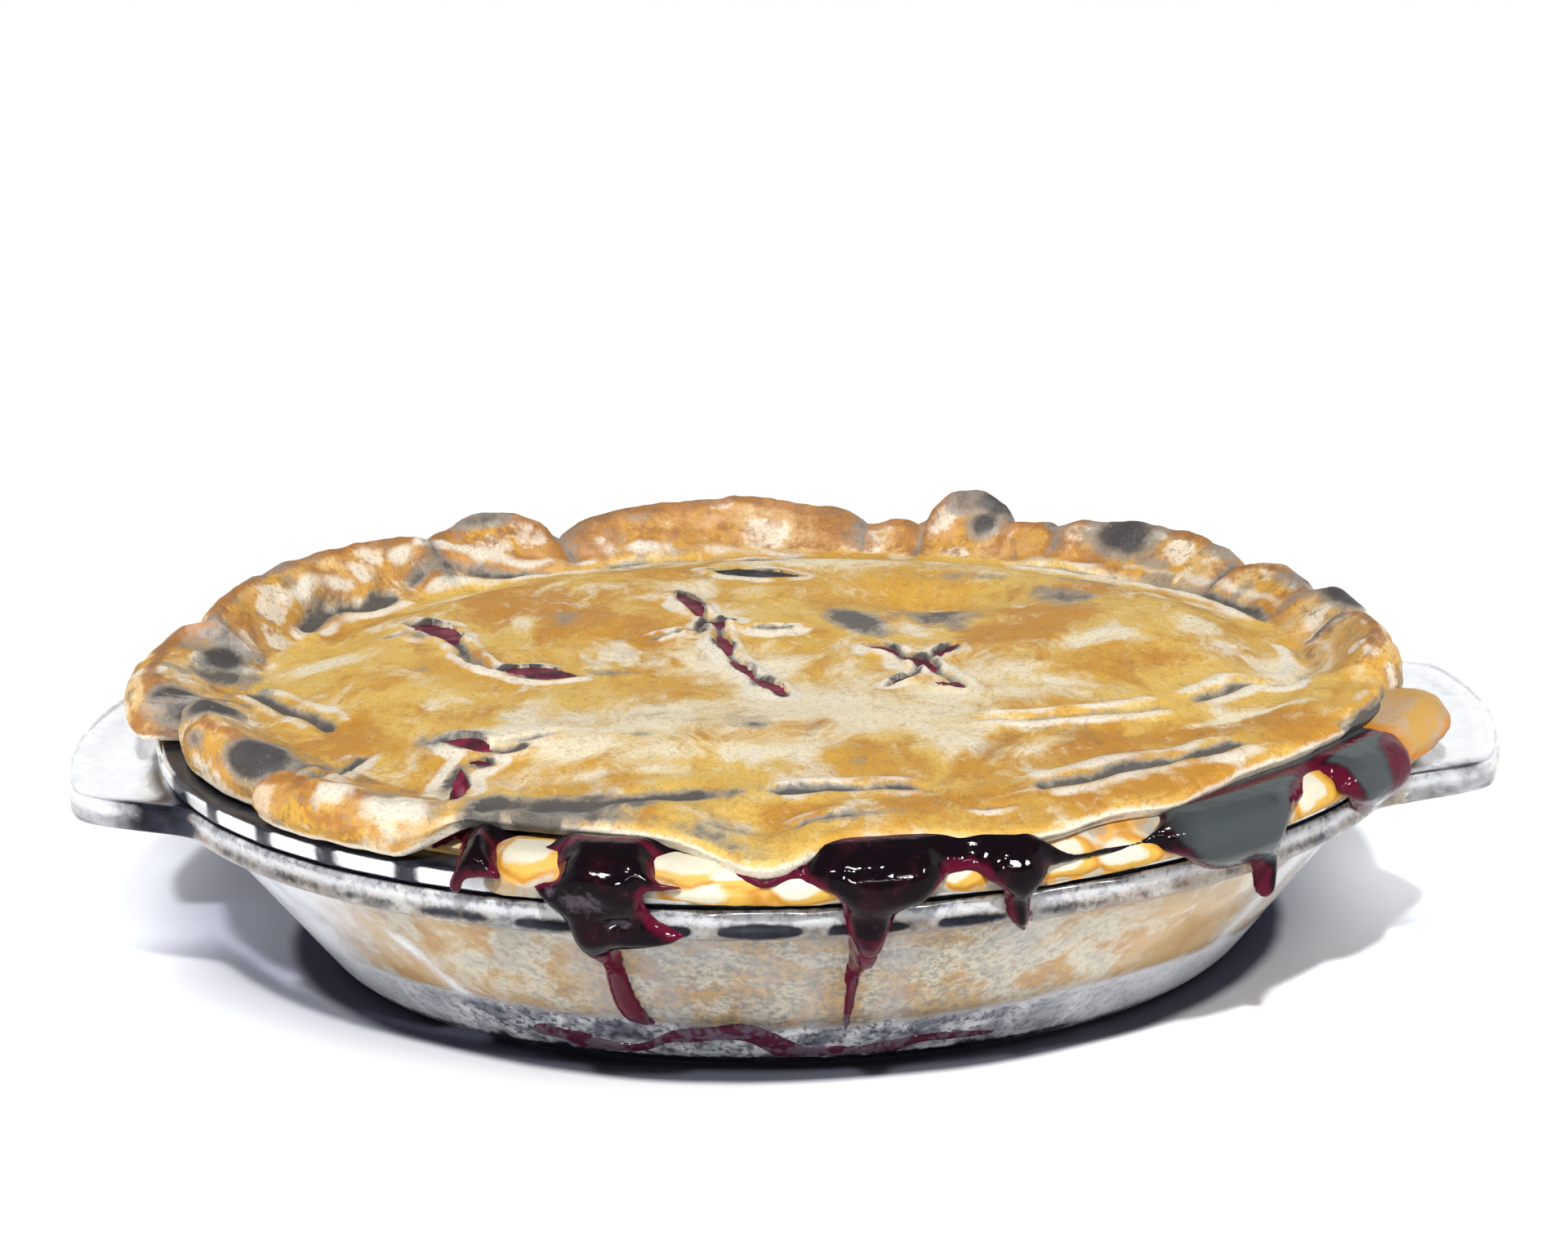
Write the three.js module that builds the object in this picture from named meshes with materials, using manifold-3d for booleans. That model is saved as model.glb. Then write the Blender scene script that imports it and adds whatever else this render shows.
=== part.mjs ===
// A double-crust cherry pie in its clear glass dish, burst open along the front, where the filling has run out over
// the rim. Millimetres, +Z up. The origin is the middle of the dish's foot, +X runs out through the right handle,
// and the burst side faces -Y. Angles are in degrees round +Z from +X.
import * as THREE from "three";
import { mergeVertices } from "three/addons/utils/BufferGeometryUtils.js";
import Module from "manifold-3d";

const wasm = await Module();
wasm.setup();

// Driving dimensions.
const rimRadius = 125; // outside of the dish's rim
const rimHeight = 44.3; // the rim's flat top above the table
const footRadius = 92.8; // outside of the foot
const handleReach = 18; // how far each ear handle stands out past the rim
const handleHalfAngle = 20; // half the angle that an ear takes up
const glassWall = 5; // thickness of wall and floor
const crustThickness = 4.2;
const seamRadius = 105; // the crease between the lid and the crimped edge
const lidHeight = 55.6; // top of the lid in the middle
const seamHeight = 51;
const clearance = 0.3; // kept between pieces that touch
const steps = 76; // stations round the lid
const dishSteps = 64; // stations round the dish and the crust that lines it

const rad = Math.PI / 180;
const smooth = (t) => {
  const s = Math.min(1, Math.max(0, t));
  return s * s * (3 - 2 * s);
};
const mix = (a, b, t) => a + (b - a) * t;
const turn = (a) => a - 360 * Math.round(a / 360);
const hump = (a, at, wide) => Math.exp(-((turn(a - at) / wide) ** 2));

// A closed surface of revolution whose profile changes as it turns. profileAt(angle) gives [radius, height] points
// from the axis, out under the piece, over its edge and back to the axis.
function turned(profileAt, count = steps) {
  const first = profileAt(0).map(([r, z]) => new THREE.Vector2(r, z));
  const shape = new THREE.LatheGeometry(first, count);
  const position = shape.getAttribute("position");
  for (let i = 0; i <= count; i++) {
    const angle = ((i % count) * 360) / count;
    profileAt(angle).forEach(([r, z], j) => {
      const x = r * Math.cos(angle * rad);
      const y = r * Math.sin(angle * rad);
      position.setXYZ(i * first.length + j, x, y, z);
    });
  }
  return solid(shape);
}

// A closed three.js geometry as a manifold-3d solid, turned right side out.
function solid(geometry) {
  const bare = geometry.clone();
  bare.deleteAttribute("normal");
  bare.deleteAttribute("uv");
  const merged = mergeVertices(bare, 1e-4);
  const triangles = [];
  for (let i = 0; i < merged.index.count; i += 3) {
    const [a, b, c] = [0, 1, 2].map((k) => merged.index.getX(i + k));
    if (a !== b && b !== c && c !== a) triangles.push([a, b, c]);
  }
  const made = (corners) =>
    new wasm.Manifold(
      new wasm.Mesh({
        numProp: 3,
        vertProperties: merged.attributes.position.array,
        triVerts: new Uint32Array(corners.flat()),
      }),
    );
  const asDrawn = made(triangles);
  return asDrawn.volume() > 0
    ? asDrawn
    : made(triangles.map(([a, b, c]) => [a, c, b]));
}

function geometryOf(body) {
  const mesh = body.getMesh();
  const geometry = new THREE.BufferGeometry();
  geometry.setAttribute(
    "position",
    new THREE.BufferAttribute(mesh.vertProperties, 3),
  );
  geometry.setIndex(new THREE.BufferAttribute(mesh.triVerts, 1));
  const flat = geometry.toNonIndexed();
  flat.computeVertexNormals();
  return flat;
}

// The largest of the bodies that a cut leaves, without its loose scraps.
const main = (body) =>
  body.decompose().sort((a, b) => b.volume() - a.volume())[0];

// Dish: flat foot, flared wall, a ledge that swells into two ear handles, a groove and a square rim.
const ledgeBottom = 34.2;
const ledgeTop = 40;
const ledgeRadius = rimRadius - 0.4;

const earAt = (angle) => {
  const off = Math.min(Math.abs(turn(angle)), Math.abs(turn(angle - 180)));
  return 1 - smooth((off - handleHalfAngle + 5.5) / 11);
};

// The wall is a straight cone from the foot up to the ledge, outside and inside.
const wallFoot = footRadius + 0.4;
const wallTop = rimRadius - 5.4;
const footRound = 1.6;
const wallFace = (z) => mix(wallFoot, wallTop, (z - footRound) / (ledgeBottom - footRound));
const innerWall = (z) => Math.min(wallFace(z) - 1.32 * glassWall, rimRadius - 11);

function dishProfile(angle, grow = 0) {
  const ear = earAt(angle);
  const out = handleReach * ear;
  const g = grow;
  return [
    [0, -g],
    [footRadius - 2.6 + g, -g],
    [wallFoot + g, footRound],
    [wallTop + g, ledgeBottom - 0.2 - g],
    [rimRadius - 3.6 + g + 0.4 * out, ledgeBottom + 0.8 * ear - g],
    [ledgeRadius - 1.2 + g + out, ledgeBottom - g],
    [ledgeRadius + g + out, ledgeBottom + 1.3],
    [ledgeRadius + g + out, ledgeTop - 1.3],
    [ledgeRadius - 1.2 + g + out, ledgeTop + g],
    [rimRadius - 1.7 + g + 0.5 * out, ledgeTop - 0.8 * ear + g],
    [rimRadius - 1.8 + g, ledgeTop + 0.3 + g],
    [rimRadius + g, ledgeTop + 0.9 + g],
    [rimRadius + g, rimHeight - 0.9],
    [rimRadius - 1.1 + g, rimHeight + g],
    [rimRadius - 9.5 - g, rimHeight + g],
    [innerWall(40) - g, 40 + g],
    [innerWall(34) - g, 34 + g],
    [innerWall(12) - g, 12 + g],
    [footRadius - 10 - g, glassWall + g],
    [0, glassWall + g],
  ];
}

// Lid's top surface without its edge: a low dome with the swellings and hollows of the baked crust.
// Each is [x, y, half length, half width, turned, height].
const swellings = [
  [70, 3, 34, 48, -20, 4], // big blister on the right
  [-50, 34, 32, 34, 20, 1.6], // blister on the left
  [-24, -62, 46, 13, 5, 1.4], // roll behind the front edge
  [-64, -14, 22, 20, 0, 0.8],
  [30, 44, 17, 11, -25, -3.6], // sunken hollow beside the blister
  [0, -20, 34, 24, 0, -1.2],
];

function lidTop(x, y) {
  const spread = Math.hypot(x, y) / seamRadius;
  let z = mix(lidHeight, seamHeight, smooth((spread - 0.72) / 0.28));
  for (const [cx, cy, long, wide, turned, high] of swellings) {
    const c = Math.cos(turned * rad);
    const s = Math.sin(turned * rad);
    const u = ((x - cx) * c + (y - cy) * s) / long;
    const v = ((y - cy) * c - (x - cx) * s) / wide;
    z += high * Math.exp(-(u * u + v * v)) * (1 - smooth((spread - 0.8) / 0.2));
  }
  return z;
}

// Crimped edge: each ruffle swells between two pinches, [angle where it starts, height of that pinch, height of its
// crest, radius that it reaches]. The next one's start ends it.
const ruffles = [
  [-17, 57.2, 60, 124],
  [6, 58.4, 59.4, 123.5],
  [17, 57.6, 58.6, 122.5],
  [32, 56.4, 60.6, 124],
  [57, 57.8, 58.6, 122],
  [63.5, 58, 63, 125.5], // sharp scorched fold
  [73.5, 55.6, 57.4, 121.5],
  [80, 57, 62.2, 125],
  [115, 54.6, 63.4, 126],
  [131, 60.4, 63.4, 125],
  [172, 60, 57, 131.5], // broad lobe that lies out over the left handle
  [190, 53.5, 56.6, 123],
  [218, 52.4, 55, 127.5],
  [241, 52.4, 55, 127.5],
];
const pinchInset = 3.4;

// Burst edge: the lid has lifted off the lower crust, and its edge waves, [angle, half width, drop, reach added].
const burst = { foot: 50.2, reach: 120.6 };
const waves = [
  [-112, 9, 0, -3],
  [-91.8, 5.4, 5.8, 11], // tongue that hangs over the rim
  [-70.5, 9, 1.8, 7],
  [-55.5, 5, 1, 3.4],
  [-22, 8, 0, 2],
];
const lapReach = 129; // just clear of the lower crust's edge
const lapHeight = 48.2;

// How far shut the edge is at an angle: 1 in the crimped part and 0 along the burst.
const shutAt = (angle) => {
  const a = ((angle % 360) + 360) % 360;
  return 1 - smooth((a - 236) / 6) + smooth((a - 343) / 6);
};

function edgeAt(angle) {
  const shut = shutAt(angle);
  const [first] = ruffles[0];
  const a = first + ((((angle - first) % 360) + 360) % 360);
  const i = Math.max(0, ruffles.findIndex(([start]) => start > a) - 1);
  const [[start, pinch, crest, reach], [end, nextPinch]] = [ruffles[i], ruffles[i + 1]];
  const t = Math.min(1, (a - start) / (end - start));
  const swell = Math.sqrt(Math.sin(Math.PI * t));
  const crimped = {
    crest: mix(mix(pinch, nextPinch, t), crest, swell),
    reach: reach - pinchInset * (1 - swell),
    foot: 45 + 1.6 * smooth((reach - 128) / 6) * swell,
  };
  const torn = { foot: burst.foot, reach: burst.reach };
  for (const [at, wide, drop, out] of waves) {
    torn.foot -= drop * hump(angle, at, wide);
    torn.reach += out * hump(angle, at, wide);
  }
  torn.crest = torn.foot + 4.6;
  const one = (key) => mix(torn[key], crimped[key], shut);
  return { crest: one("crest"), reach: one("reach"), foot: one("foot"), shut };
}

const innerShares = [0.2, 0.42, 0.62, 0.78, 0.9, 1];
const surface = (share, angle, drop) => {
  const r = seamRadius * share;
  return [r, lidTop(r * Math.cos(angle * rad), r * Math.sin(angle * rad)) - drop];
};

function lidProfile(angle, grow = 0) {
  const { crest, reach, foot, shut } = edgeAt(angle);
  const g = grow;
  const crestRadius = reach - mix(7, 5.5, shut);
  const along = (t) => mix(seamRadius, crestRadius, t);
  const under = Math.max(foot, lapHeight);
  const over = mix(lapReach, 117.6, shut);
  return [
    [0, lidTop(0, 0) - crustThickness - g],
    ...innerShares.slice(0, -1).map((share) => surface(share, angle, crustThickness + g)),
    [seamRadius, Math.max(lapHeight, under - 0.6) - g],
    [Math.min(over, reach - 2.8) - g, under - g],
    [Math.min(over + 0.9, reach - 1.9) - g, foot - g],
    [reach - 1.6 + g, foot - g],
    [reach + g, mix(foot, crest, 0.4)],
    [reach - 1.4 + g, mix(foot, crest, 0.78) + g * 0.5],
    [crestRadius + g * 0.5, crest + g],
    [along(0.66), mix(seamHeight, crest, mix(0.96, 0.66, shut)) + g],
    [along(0.32), mix(seamHeight, crest, mix(0.75, 0.2, shut)) + g],
    ...innerShares.slice().reverse().map((share) => surface(share, angle, -g)),
    [0, lidTop(0, 0) + g],
  ];
}

// Vents: leaf-shaped slits cut right through the lid, from one point to another, [x, y, x, y, width].
const vents = [
  [-76, 28.5, -64, -0.5, 7.5], // long curved slit on the left, open at both ends
  [-56, -14.5, -39.5, -22, 7],
  [-22.5, 50.5, -15, 20, 6], // middle cross, its long stroke
  [-18.5, 24, 0.5, -39, 4.6],
  [-23.5, 11, 5.5, 14.5, 3.6], // and its short stroke
  [17.2, 2.8, 35.3, -37.6, 4.2], // right cross
  [20.8, -33, 36.6, -1.4, 4],
  [-72, -57.5, -54, -66, 5.4], // tear at the front left, with the crack that runs from it
  [-61.4, -69, -61.2, -96, 3.8],
  [-16.6, 70.5, 3, 64, 4], // slot at the back
];

function ventCutter([x0, y0, x1, y1, width]) {
  const length = Math.hypot(x1 - x0, y1 - y0);
  const outline = new THREE.Shape();
  outline.moveTo(0, 0);
  outline.quadraticCurveTo(length / 2, width, length, 0);
  outline.quadraticCurveTo(length / 2, -width, 0, 0);
  const blade = new THREE.ExtrudeGeometry(outline, {
    depth: 30,
    bevelEnabled: false,
    curveSegments: 4,
  });
  blade.rotateZ(Math.atan2(y1 - y0, x1 - x0));
  blade.translate(x0, y0, 40);
  return solid(blade);
}

// Lower crust: lines the glass, with its edge lying on the rim. Along the burst the edge laps over the rim.
const lapAt = (angle) => {
  const lobe = 7 * hump(angle, -16, 9);
  const wave = 0.5 * Math.sin(angle * 11 * rad) + 0.3 * Math.sin(angle * 23 * rad);
  return rimRadius + 2.6 + lobe + wave;
};

function lowerProfile(angle, grow = 0) {
  const open = 1 - shutAt(angle);
  const g = grow;
  const lobe = hump(angle, -16, 9);
  const lap = Math.max(mix(117.2, lapAt(angle), open), 117.2 + 16.8 * lobe);
  const past = open * (1 - lobe);
  const gap = clearance + 0.1;
  const top = 47.6;
  return [
    [0, glassWall + gap - g],
    [footRadius - 10 - gap, glassWall + gap - g],
    [innerWall(12) - gap + g, 12 + gap],
    [innerWall(34) - gap + g, 34 + gap],
    [innerWall(40) - gap + g, 40 + gap],
    [rimRadius - 9.5 - gap + g, rimHeight + gap - g],
    [mix(lap - 2, rimRadius + gap - g * 0.5, past), rimHeight + gap - g],
    [mix(lap - 1, rimRadius + gap + 0.2, past), mix(rimHeight + gap, 41.9, past) - g],
    [lap - 0.7 + g, mix(rimHeight + gap + 0.3, 41.5, past) - g],
    [lap + g, mix(45.9, 43.8, past)],
    [lap - 1 + g, 46.6 + g * 0.5],
    [lap - 4 + g, top + g],
    [112 - g, top + g],
    [110 - g, top - 1.2],
    [innerWall(40) - crustThickness - g, 40],
    [innerWall(32) - crustThickness - 1 - g, 32 + g],
    [innerWall(12) - crustThickness - 1.2 - g, 14 + g],
    [footRadius - 15, glassWall + crustThickness + 0.4 + g],
    [0, glassWall + crustThickness + g],
  ];
}

// Filling: all the space between the crusts, and out through the burst as far as the ooze reaches.
function fillingProfile(angle) {
  const open = 1 - shutAt(angle);
  const room = 2 * clearance;
  const drop = crustThickness + 1;
  const under = [0.36, 0.66, 0.88].map((share) => surface(share, angle, drop));
  const { foot, reach } = edgeAt(angle);
  const lap = mix(104, Math.min(reach + 0.9, 126.5), open);
  const floor = glassWall + crustThickness + room;
  const wall = (z) => innerWall(z) - crustThickness - room;
  const roof = mix(lapHeight - 0.4, Math.max(lapHeight, foot - 1.1), open);
  return [
    [0, floor],
    [footRadius - 15.4, floor + 0.4],
    [wall(12) - 1.4, 14.8],
    [wall(32) - 1, 32.6],
    [wall(40), 40],
    [mix(104, 109.2, open), 46.8],
    [mix(104, 111, open), mix(47, 48.1, open)],
    [lap, mix(47.2, 48.1, open)],
    [lap + 0.2 * open, roof],
    [mix(103.6, 108, open), roof],
    ...under.reverse(),
    [0, lidTop(0, 0) - drop],
  ];
}

// A bead of syrup that follows a path over the rim and down the glass. Each station is
// [angle, radius, height, half width, half thickness].
function bead(stations, sides = 8) {
  const spine = stations.map(([angle, r, z]) =>
    new THREE.Vector3(r * Math.cos(angle * rad), r * Math.sin(angle * rad), z));
  const shape = new THREE.CylinderGeometry(1, 1, 1, sides, stations.length - 1);
  const position = shape.getAttribute("position");
  for (let i = 0; i < position.count; i++) {
    const row = Math.round((0.5 - position.getY(i)) * (stations.length - 1));
    const [angle, , , wide, thick] = stations[row];
    const ahead = spine[Math.min(row + 1, spine.length - 1)];
    const along = ahead.clone().sub(spine[Math.max(row - 1, 0)]).normalize();
    const side = new THREE.Vector3(-Math.sin(angle * rad), Math.cos(angle * rad), 0);
    const out = new THREE.Vector3().crossVectors(side, along).normalize();
    const place = spine[row].clone();
    place.addScaledVector(side, wide * position.getX(i));
    place.addScaledVector(out, thick * position.getZ(i));
    position.setXYZ(i, place.x, place.y, place.z);
  }
  return solid(shape);
}

// Each run of syrup: angle, half width of its blob, lowest point of the blob, then the run that trails from it down
// to a height, with the half width of that run.
const runs = [
  { at: -117.7, wide: 2.2, low: 41.6, tail: 40, thin: 1.3 },
  { at: -113.4, wide: 3.4, low: 44.4, tail: 43.6, thin: 2.4 },
  { at: -105, wide: 11.4, low: 36, tail: 4.4, thin: 2.1 },
  { at: -82.8, wide: 12.4, low: 39.6, tail: 4.4, thin: 2 },
  { at: -71.4, wide: 6.2, low: 40.6, tail: 30.5, thin: 1.7 },
  { at: -50.4, wide: 16, low: 37.4, tail: 36.6, thin: 9 },
  { at: -45, wide: 2.6, low: 36, tail: 29.6, thin: 2 },
  { at: -27.8, wide: 14, low: 38.4, tail: 37.6, thin: 8 },
  { at: -29, wide: 3.4, low: 37, tail: 34, thin: 2.4 },
];

function runOf({ at, wide, low, tail, thin }) {
  const over = rimRadius + 3.4 + 7 * hump(at, -16, 9);
  const down = [
    [at, 118, 48.9, wide * 0.9, 0.7],
    [at, over - 2.6, 48.8, wide, 1.7],
    [at, over, 46.6, wide, 1.8],
    [at, over + 0.3, mix(46.6, low, 0.45), wide * 0.94, 2.2],
    [at, over - 0.6, mix(46.6, low, 0.8), wide * 0.72, 2.2],
    [at, over - 1.6, low, Math.max(thin, wide * 0.42), 1.9],
  ];
  if (tail > 33) return bead([...down, [at, over - 2, tail, thin * 0.7, 1.2]]);
  const trail = [33.6, 26, 18, 11].filter((z) => z > tail + 2);
  return bead([
    ...down,
    [at, rimRadius, 34.6, thin * 1.3, 1.6],
    ...trail.map((z) => [at, wallFace(z) + 0.9, z, thin, 1.3]),
    [at, wallFace(tail) + 0.7, tail, thin * 0.5, 0.9],
  ]);
}

// Syrup that has settled in a thin wavy bead along the foot of the glass.
const pool = { from: -120, to: -66, turns: 3, height: 3.6, rise: 1.6, wide: 1.9, thick: 1 };

function poolBead() {
  const count = 16;
  const stations = Array.from({ length: count + 1 }, (_, i) => {
    const t = i / count;
    const angle = mix(pool.from, pool.to, t) * rad;
    const z = pool.height + pool.rise * Math.sin(t * pool.turns * 2 * Math.PI);
    const r = wallFace(z) + 0.6 * pool.thick;
    return new THREE.Vector3(r * Math.cos(angle), r * Math.sin(angle), z);
  });
  const section = new THREE.Shape();
  section.absellipse(0, 0, pool.wide, pool.thick, 0, 2 * Math.PI);
  return solid(
    new THREE.ExtrudeGeometry(section, {
      extrudePath: new THREE.CatmullRomCurve3(stations),
      steps: count,
      curveSegments: 4,
      bevelEnabled: false,
    }),
  );
}

const dish = turned((angle) => dishProfile(angle), dishSteps);
const dishCutter = turned((angle) => dishProfile(angle, clearance), dishSteps);
const lidBlank = turned((angle) => lidProfile(angle));
const lidCutter = turned((angle) => lidProfile(angle, clearance));
const fitted = (body) => body.subtract(lidCutter).subtract(dishCutter);
const lower = main(fitted(turned((angle) => lowerProfile(angle), dishSteps)));
const lowerCutter = turned((angle) => lowerProfile(angle, clearance), dishSteps);

const slits = vents.map(ventCutter);
const lid = main(slits.reduce((body, slit) => body.subtract(slit), lidBlank));

const syrup = [...runs.map(runOf), poolBead()];
const flooded = syrup.reduce((body, piece) => body.add(piece), turned(fillingProfile, 54));
const filling = main(fitted(flooded.subtract(lowerCutter)));

const clearGlass = new THREE.MeshStandardMaterial({
  color: 0xeef3f3,
  roughness: 0.04,
  metalness: 0,
  transparent: true,
  opacity: 0.35,
});
const bakedCrust = new THREE.MeshStandardMaterial({
  color: 0xdca955,
  roughness: 0.62,
  metalness: 0,
});
const paleCrust = new THREE.MeshStandardMaterial({
  color: 0xd6b683,
  roughness: 0.7,
  metalness: 0,
});
const cherrySyrup = new THREE.MeshStandardMaterial({
  color: 0x4d0a1c,
  roughness: 0.08,
  metalness: 0,
});

const pie = new THREE.Group();
const add = (name, body, material) => {
  const mesh = new THREE.Mesh(geometryOf(body), material);
  mesh.name = name;
  pie.add(mesh);
};
add("glass_dish", dish, clearGlass);
add("lower_crust", lower, paleCrust);
add("cherry_filling", filling, cherrySyrup);
add("top_crust", lid, bakedCrust);

export default pie;
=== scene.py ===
import math

import bpy
import numpy as np
from mathutils import Matrix, noise


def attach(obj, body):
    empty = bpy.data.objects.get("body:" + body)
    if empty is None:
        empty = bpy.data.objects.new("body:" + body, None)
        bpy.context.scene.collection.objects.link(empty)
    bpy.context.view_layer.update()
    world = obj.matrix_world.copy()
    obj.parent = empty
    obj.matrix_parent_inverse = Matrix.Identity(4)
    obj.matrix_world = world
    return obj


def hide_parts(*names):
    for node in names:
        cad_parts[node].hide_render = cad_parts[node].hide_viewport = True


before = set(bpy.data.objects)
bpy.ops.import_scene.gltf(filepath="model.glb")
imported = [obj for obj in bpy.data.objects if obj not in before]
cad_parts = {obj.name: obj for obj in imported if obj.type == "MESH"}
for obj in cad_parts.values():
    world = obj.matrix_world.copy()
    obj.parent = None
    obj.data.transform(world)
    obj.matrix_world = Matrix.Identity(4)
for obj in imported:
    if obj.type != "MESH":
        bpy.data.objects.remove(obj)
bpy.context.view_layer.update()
print("frame loaded:", ", ".join(sorted(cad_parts)))

mm = 0.001
perMetre = 1000.0  # millimetres


def smooth(t):
    t = np.clip(t, 0.0, 1.0)
    return t * t * (3 - 2 * t)


def mix(a, b, t):
    return a + (b - a) * t


def turnBy(angle):
    # the same angle, from -180 to 180 degrees
    return angle - 360 * np.round(angle / 360)


def bell(value, at, wide):
    # 1 at that value, fading to 0 within about twice the width
    return np.exp(-((value - at) / wide) ** 2)


def hump(angle, at, wide):
    # the same for an angle in degrees
    return bell(turnBy(angle - at), 0, wide)


def band(value, low, high, soft=0.3):
    # 1 between those values, 0 outside them
    return smooth((value - low) / soft + 0.5) * smooth((high - value) / soft + 0.5)


def lumps(x, y, z, size, seed):
    # soft noise from about -1 to 1, with lumps of that size in millimetres
    spots = np.stack([np.ravel(x) / size + seed, np.ravel(y) / size - seed, np.ravel(z) / size + 0.37], 1)
    values = [noise.noise(spot) for spot in spots.tolist()]
    return np.array(values).reshape(np.shape(x))


def lumpy(x, y, z, rows):
    # several sizes of lumps together: size, seed, height
    return sum(high * lumps(x, y, z, size, seed) for size, seed, high in rows)


def blot(x, y, cx, cy, long, wide, turned):
    # 1 in the middle of an oval patch, fading to 0 past its edge
    c, s = math.cos(math.radians(turned)), math.sin(math.radians(turned))
    u = ((x - cx) * c + (y - cy) * s) / long
    v = ((y - cy) * c - (x - cx) * s) / wide
    return np.exp(-(u * u + v * v))


def softPath(points, count=6):
    # a Catmull-Rom curve through the points
    p = np.array(points, float)
    p = np.vstack([2 * p[0] - p[1], p, 2 * p[-1] - p[-2]])
    out = []
    for a, b, c, d in zip(p[:-3], p[1:-2], p[2:-1], p[3:]):
        for t in np.linspace(0, 1, count, endpoint=False):
            square = (2 * a - 5 * b + 4 * c - d) * t * t
            cube = (3 * b - a - 3 * c + d) * t ** 3
            out.append(0.5 * (2 * b + (c - a) * t + square + cube))
    out.append(p[-2])
    return np.array(out)


def pathDistance(x, y, path):
    # distance to a path, which side of it (positive on its left), and how far along it as a share
    best = np.full(np.shape(x), 1e9)
    side = np.zeros(np.shape(x))
    share = np.zeros(np.shape(x))
    for i, (a, b) in enumerate(zip(path[:-1], path[1:])):
        along = b - a
        t = np.clip(((x - a[0]) * along[0] + (y - a[1]) * along[1]) / max(along @ along, 1e-9), 0, 1)
        dx, dy = x - a[0] - along[0] * t, y - a[1] - along[1] * t
        d = np.hypot(dx, dy)
        near = d < best
        best = np.where(near, d, best)
        side = np.where(near, np.sign(along[0] * dy - along[1] * dx), side)
        share = np.where(near, (i + t) / (len(path) - 1), share)
    return best, side, share


def deselectAll():
    if bpy.context.object and bpy.context.object.mode != "OBJECT":
        bpy.ops.object.mode_set(mode="OBJECT")
    bpy.ops.object.select_all(action="DESELECT")


def pickOnly(piece):
    deselectAll()
    piece.select_set(True)
    bpy.context.view_layer.objects.active = piece


def mark(piece, name, values):
    layer = piece.data.attributes.get(name) or piece.data.attributes.new(name, "FLOAT", "POINT")
    layer.data.foreach_set("value", np.asarray(values, np.float32))


def marks(piece, name):
    values = np.zeros(len(piece.data.vertices), np.float32)
    piece.data.attributes[name].data.foreach_get("value", values)
    return values


def places(piece):
    # the vertices in millimetres
    flat = np.zeros(len(piece.data.vertices) * 3, np.float32)
    piece.data.vertices.foreach_get("co", flat)
    return flat.reshape(-1, 3).astype(float) * perMetre


def roundPlaces(piece):
    # their x, y and height, and their angle and radius about the axis
    x, y, z = places(piece).T
    return x, y, z, np.degrees(np.arctan2(y, x)), np.hypot(x, y)


def setPlaces(piece, points):
    piece.data.vertices.foreach_set("co", (np.asarray(points) * mm).astype(np.float32).ravel())
    piece.data.update()


def pickVertices(piece, chosen):
    # into edit mode with just those vertices selected
    pickOnly(piece)
    bpy.ops.object.mode_set(mode="EDIT")
    bpy.ops.mesh.select_mode(type="VERT")
    bpy.ops.mesh.select_all(action="DESELECT")
    bpy.ops.object.mode_set(mode="OBJECT")
    piece.data.vertices.foreach_set("select", np.asarray(chosen, bool))
    bpy.ops.object.mode_set(mode="EDIT")


def faceOutward():
    # on all that is being edited, and out of edit mode
    bpy.ops.mesh.select_all(action="SELECT")
    bpy.ops.mesh.normals_make_consistent(inside=False)
    bpy.ops.object.mode_set(mode="OBJECT")


def spunShell(name, r, x, y, z):
    # a closed skin from grids over (step round the axis, station along the section), with the
    # section drawn from the axis out and back to it: spun from the first one, then shaped
    steps, last = len(r), len(r[0]) - 1
    deselectAll()
    bpy.ops.mesh.primitive_circle_add(vertices=last + 1, radius=0.1)
    piece = bpy.context.object
    piece.name = piece.data.name = name
    setPlaces(piece, [(far, 0, high) for far, high in zip(r[0], z[0])])
    mark(piece, "station", np.arange(last + 1))
    for edge in piece.data.edges:
        edge.select = set(edge.vertices) == {0, last}  # the edge on the axis isn't wanted
    for vertex in piece.data.vertices:
        vertex.select = vertex.index in (0, last)
    bpy.ops.object.mode_set(mode="EDIT")
    bpy.ops.mesh.select_mode(type="EDGE")
    bpy.ops.mesh.delete(type="EDGE")
    bpy.ops.mesh.select_mode(type="VERT")
    bpy.ops.mesh.select_all(action="SELECT")
    bpy.ops.mesh.spin(steps=steps, angle=2 * math.pi, center=(0, 0, 0), axis=(0, 0, 1))
    bpy.ops.mesh.select_all(action="SELECT")
    bpy.ops.mesh.remove_doubles(threshold=1e-6)
    faceOutward()
    now = places(piece)
    station = np.round(marks(piece, "station")).astype(int)
    turn = np.round(np.degrees(np.arctan2(now[:, 1], now[:, 0])) / (360 / steps)).astype(int) % steps
    setPlaces(piece, np.stack([x[turn, station], y[turn, station], z[turn, station]], 1))
    piece.data.attributes.remove(piece.data.attributes["station"])
    return piece


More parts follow.
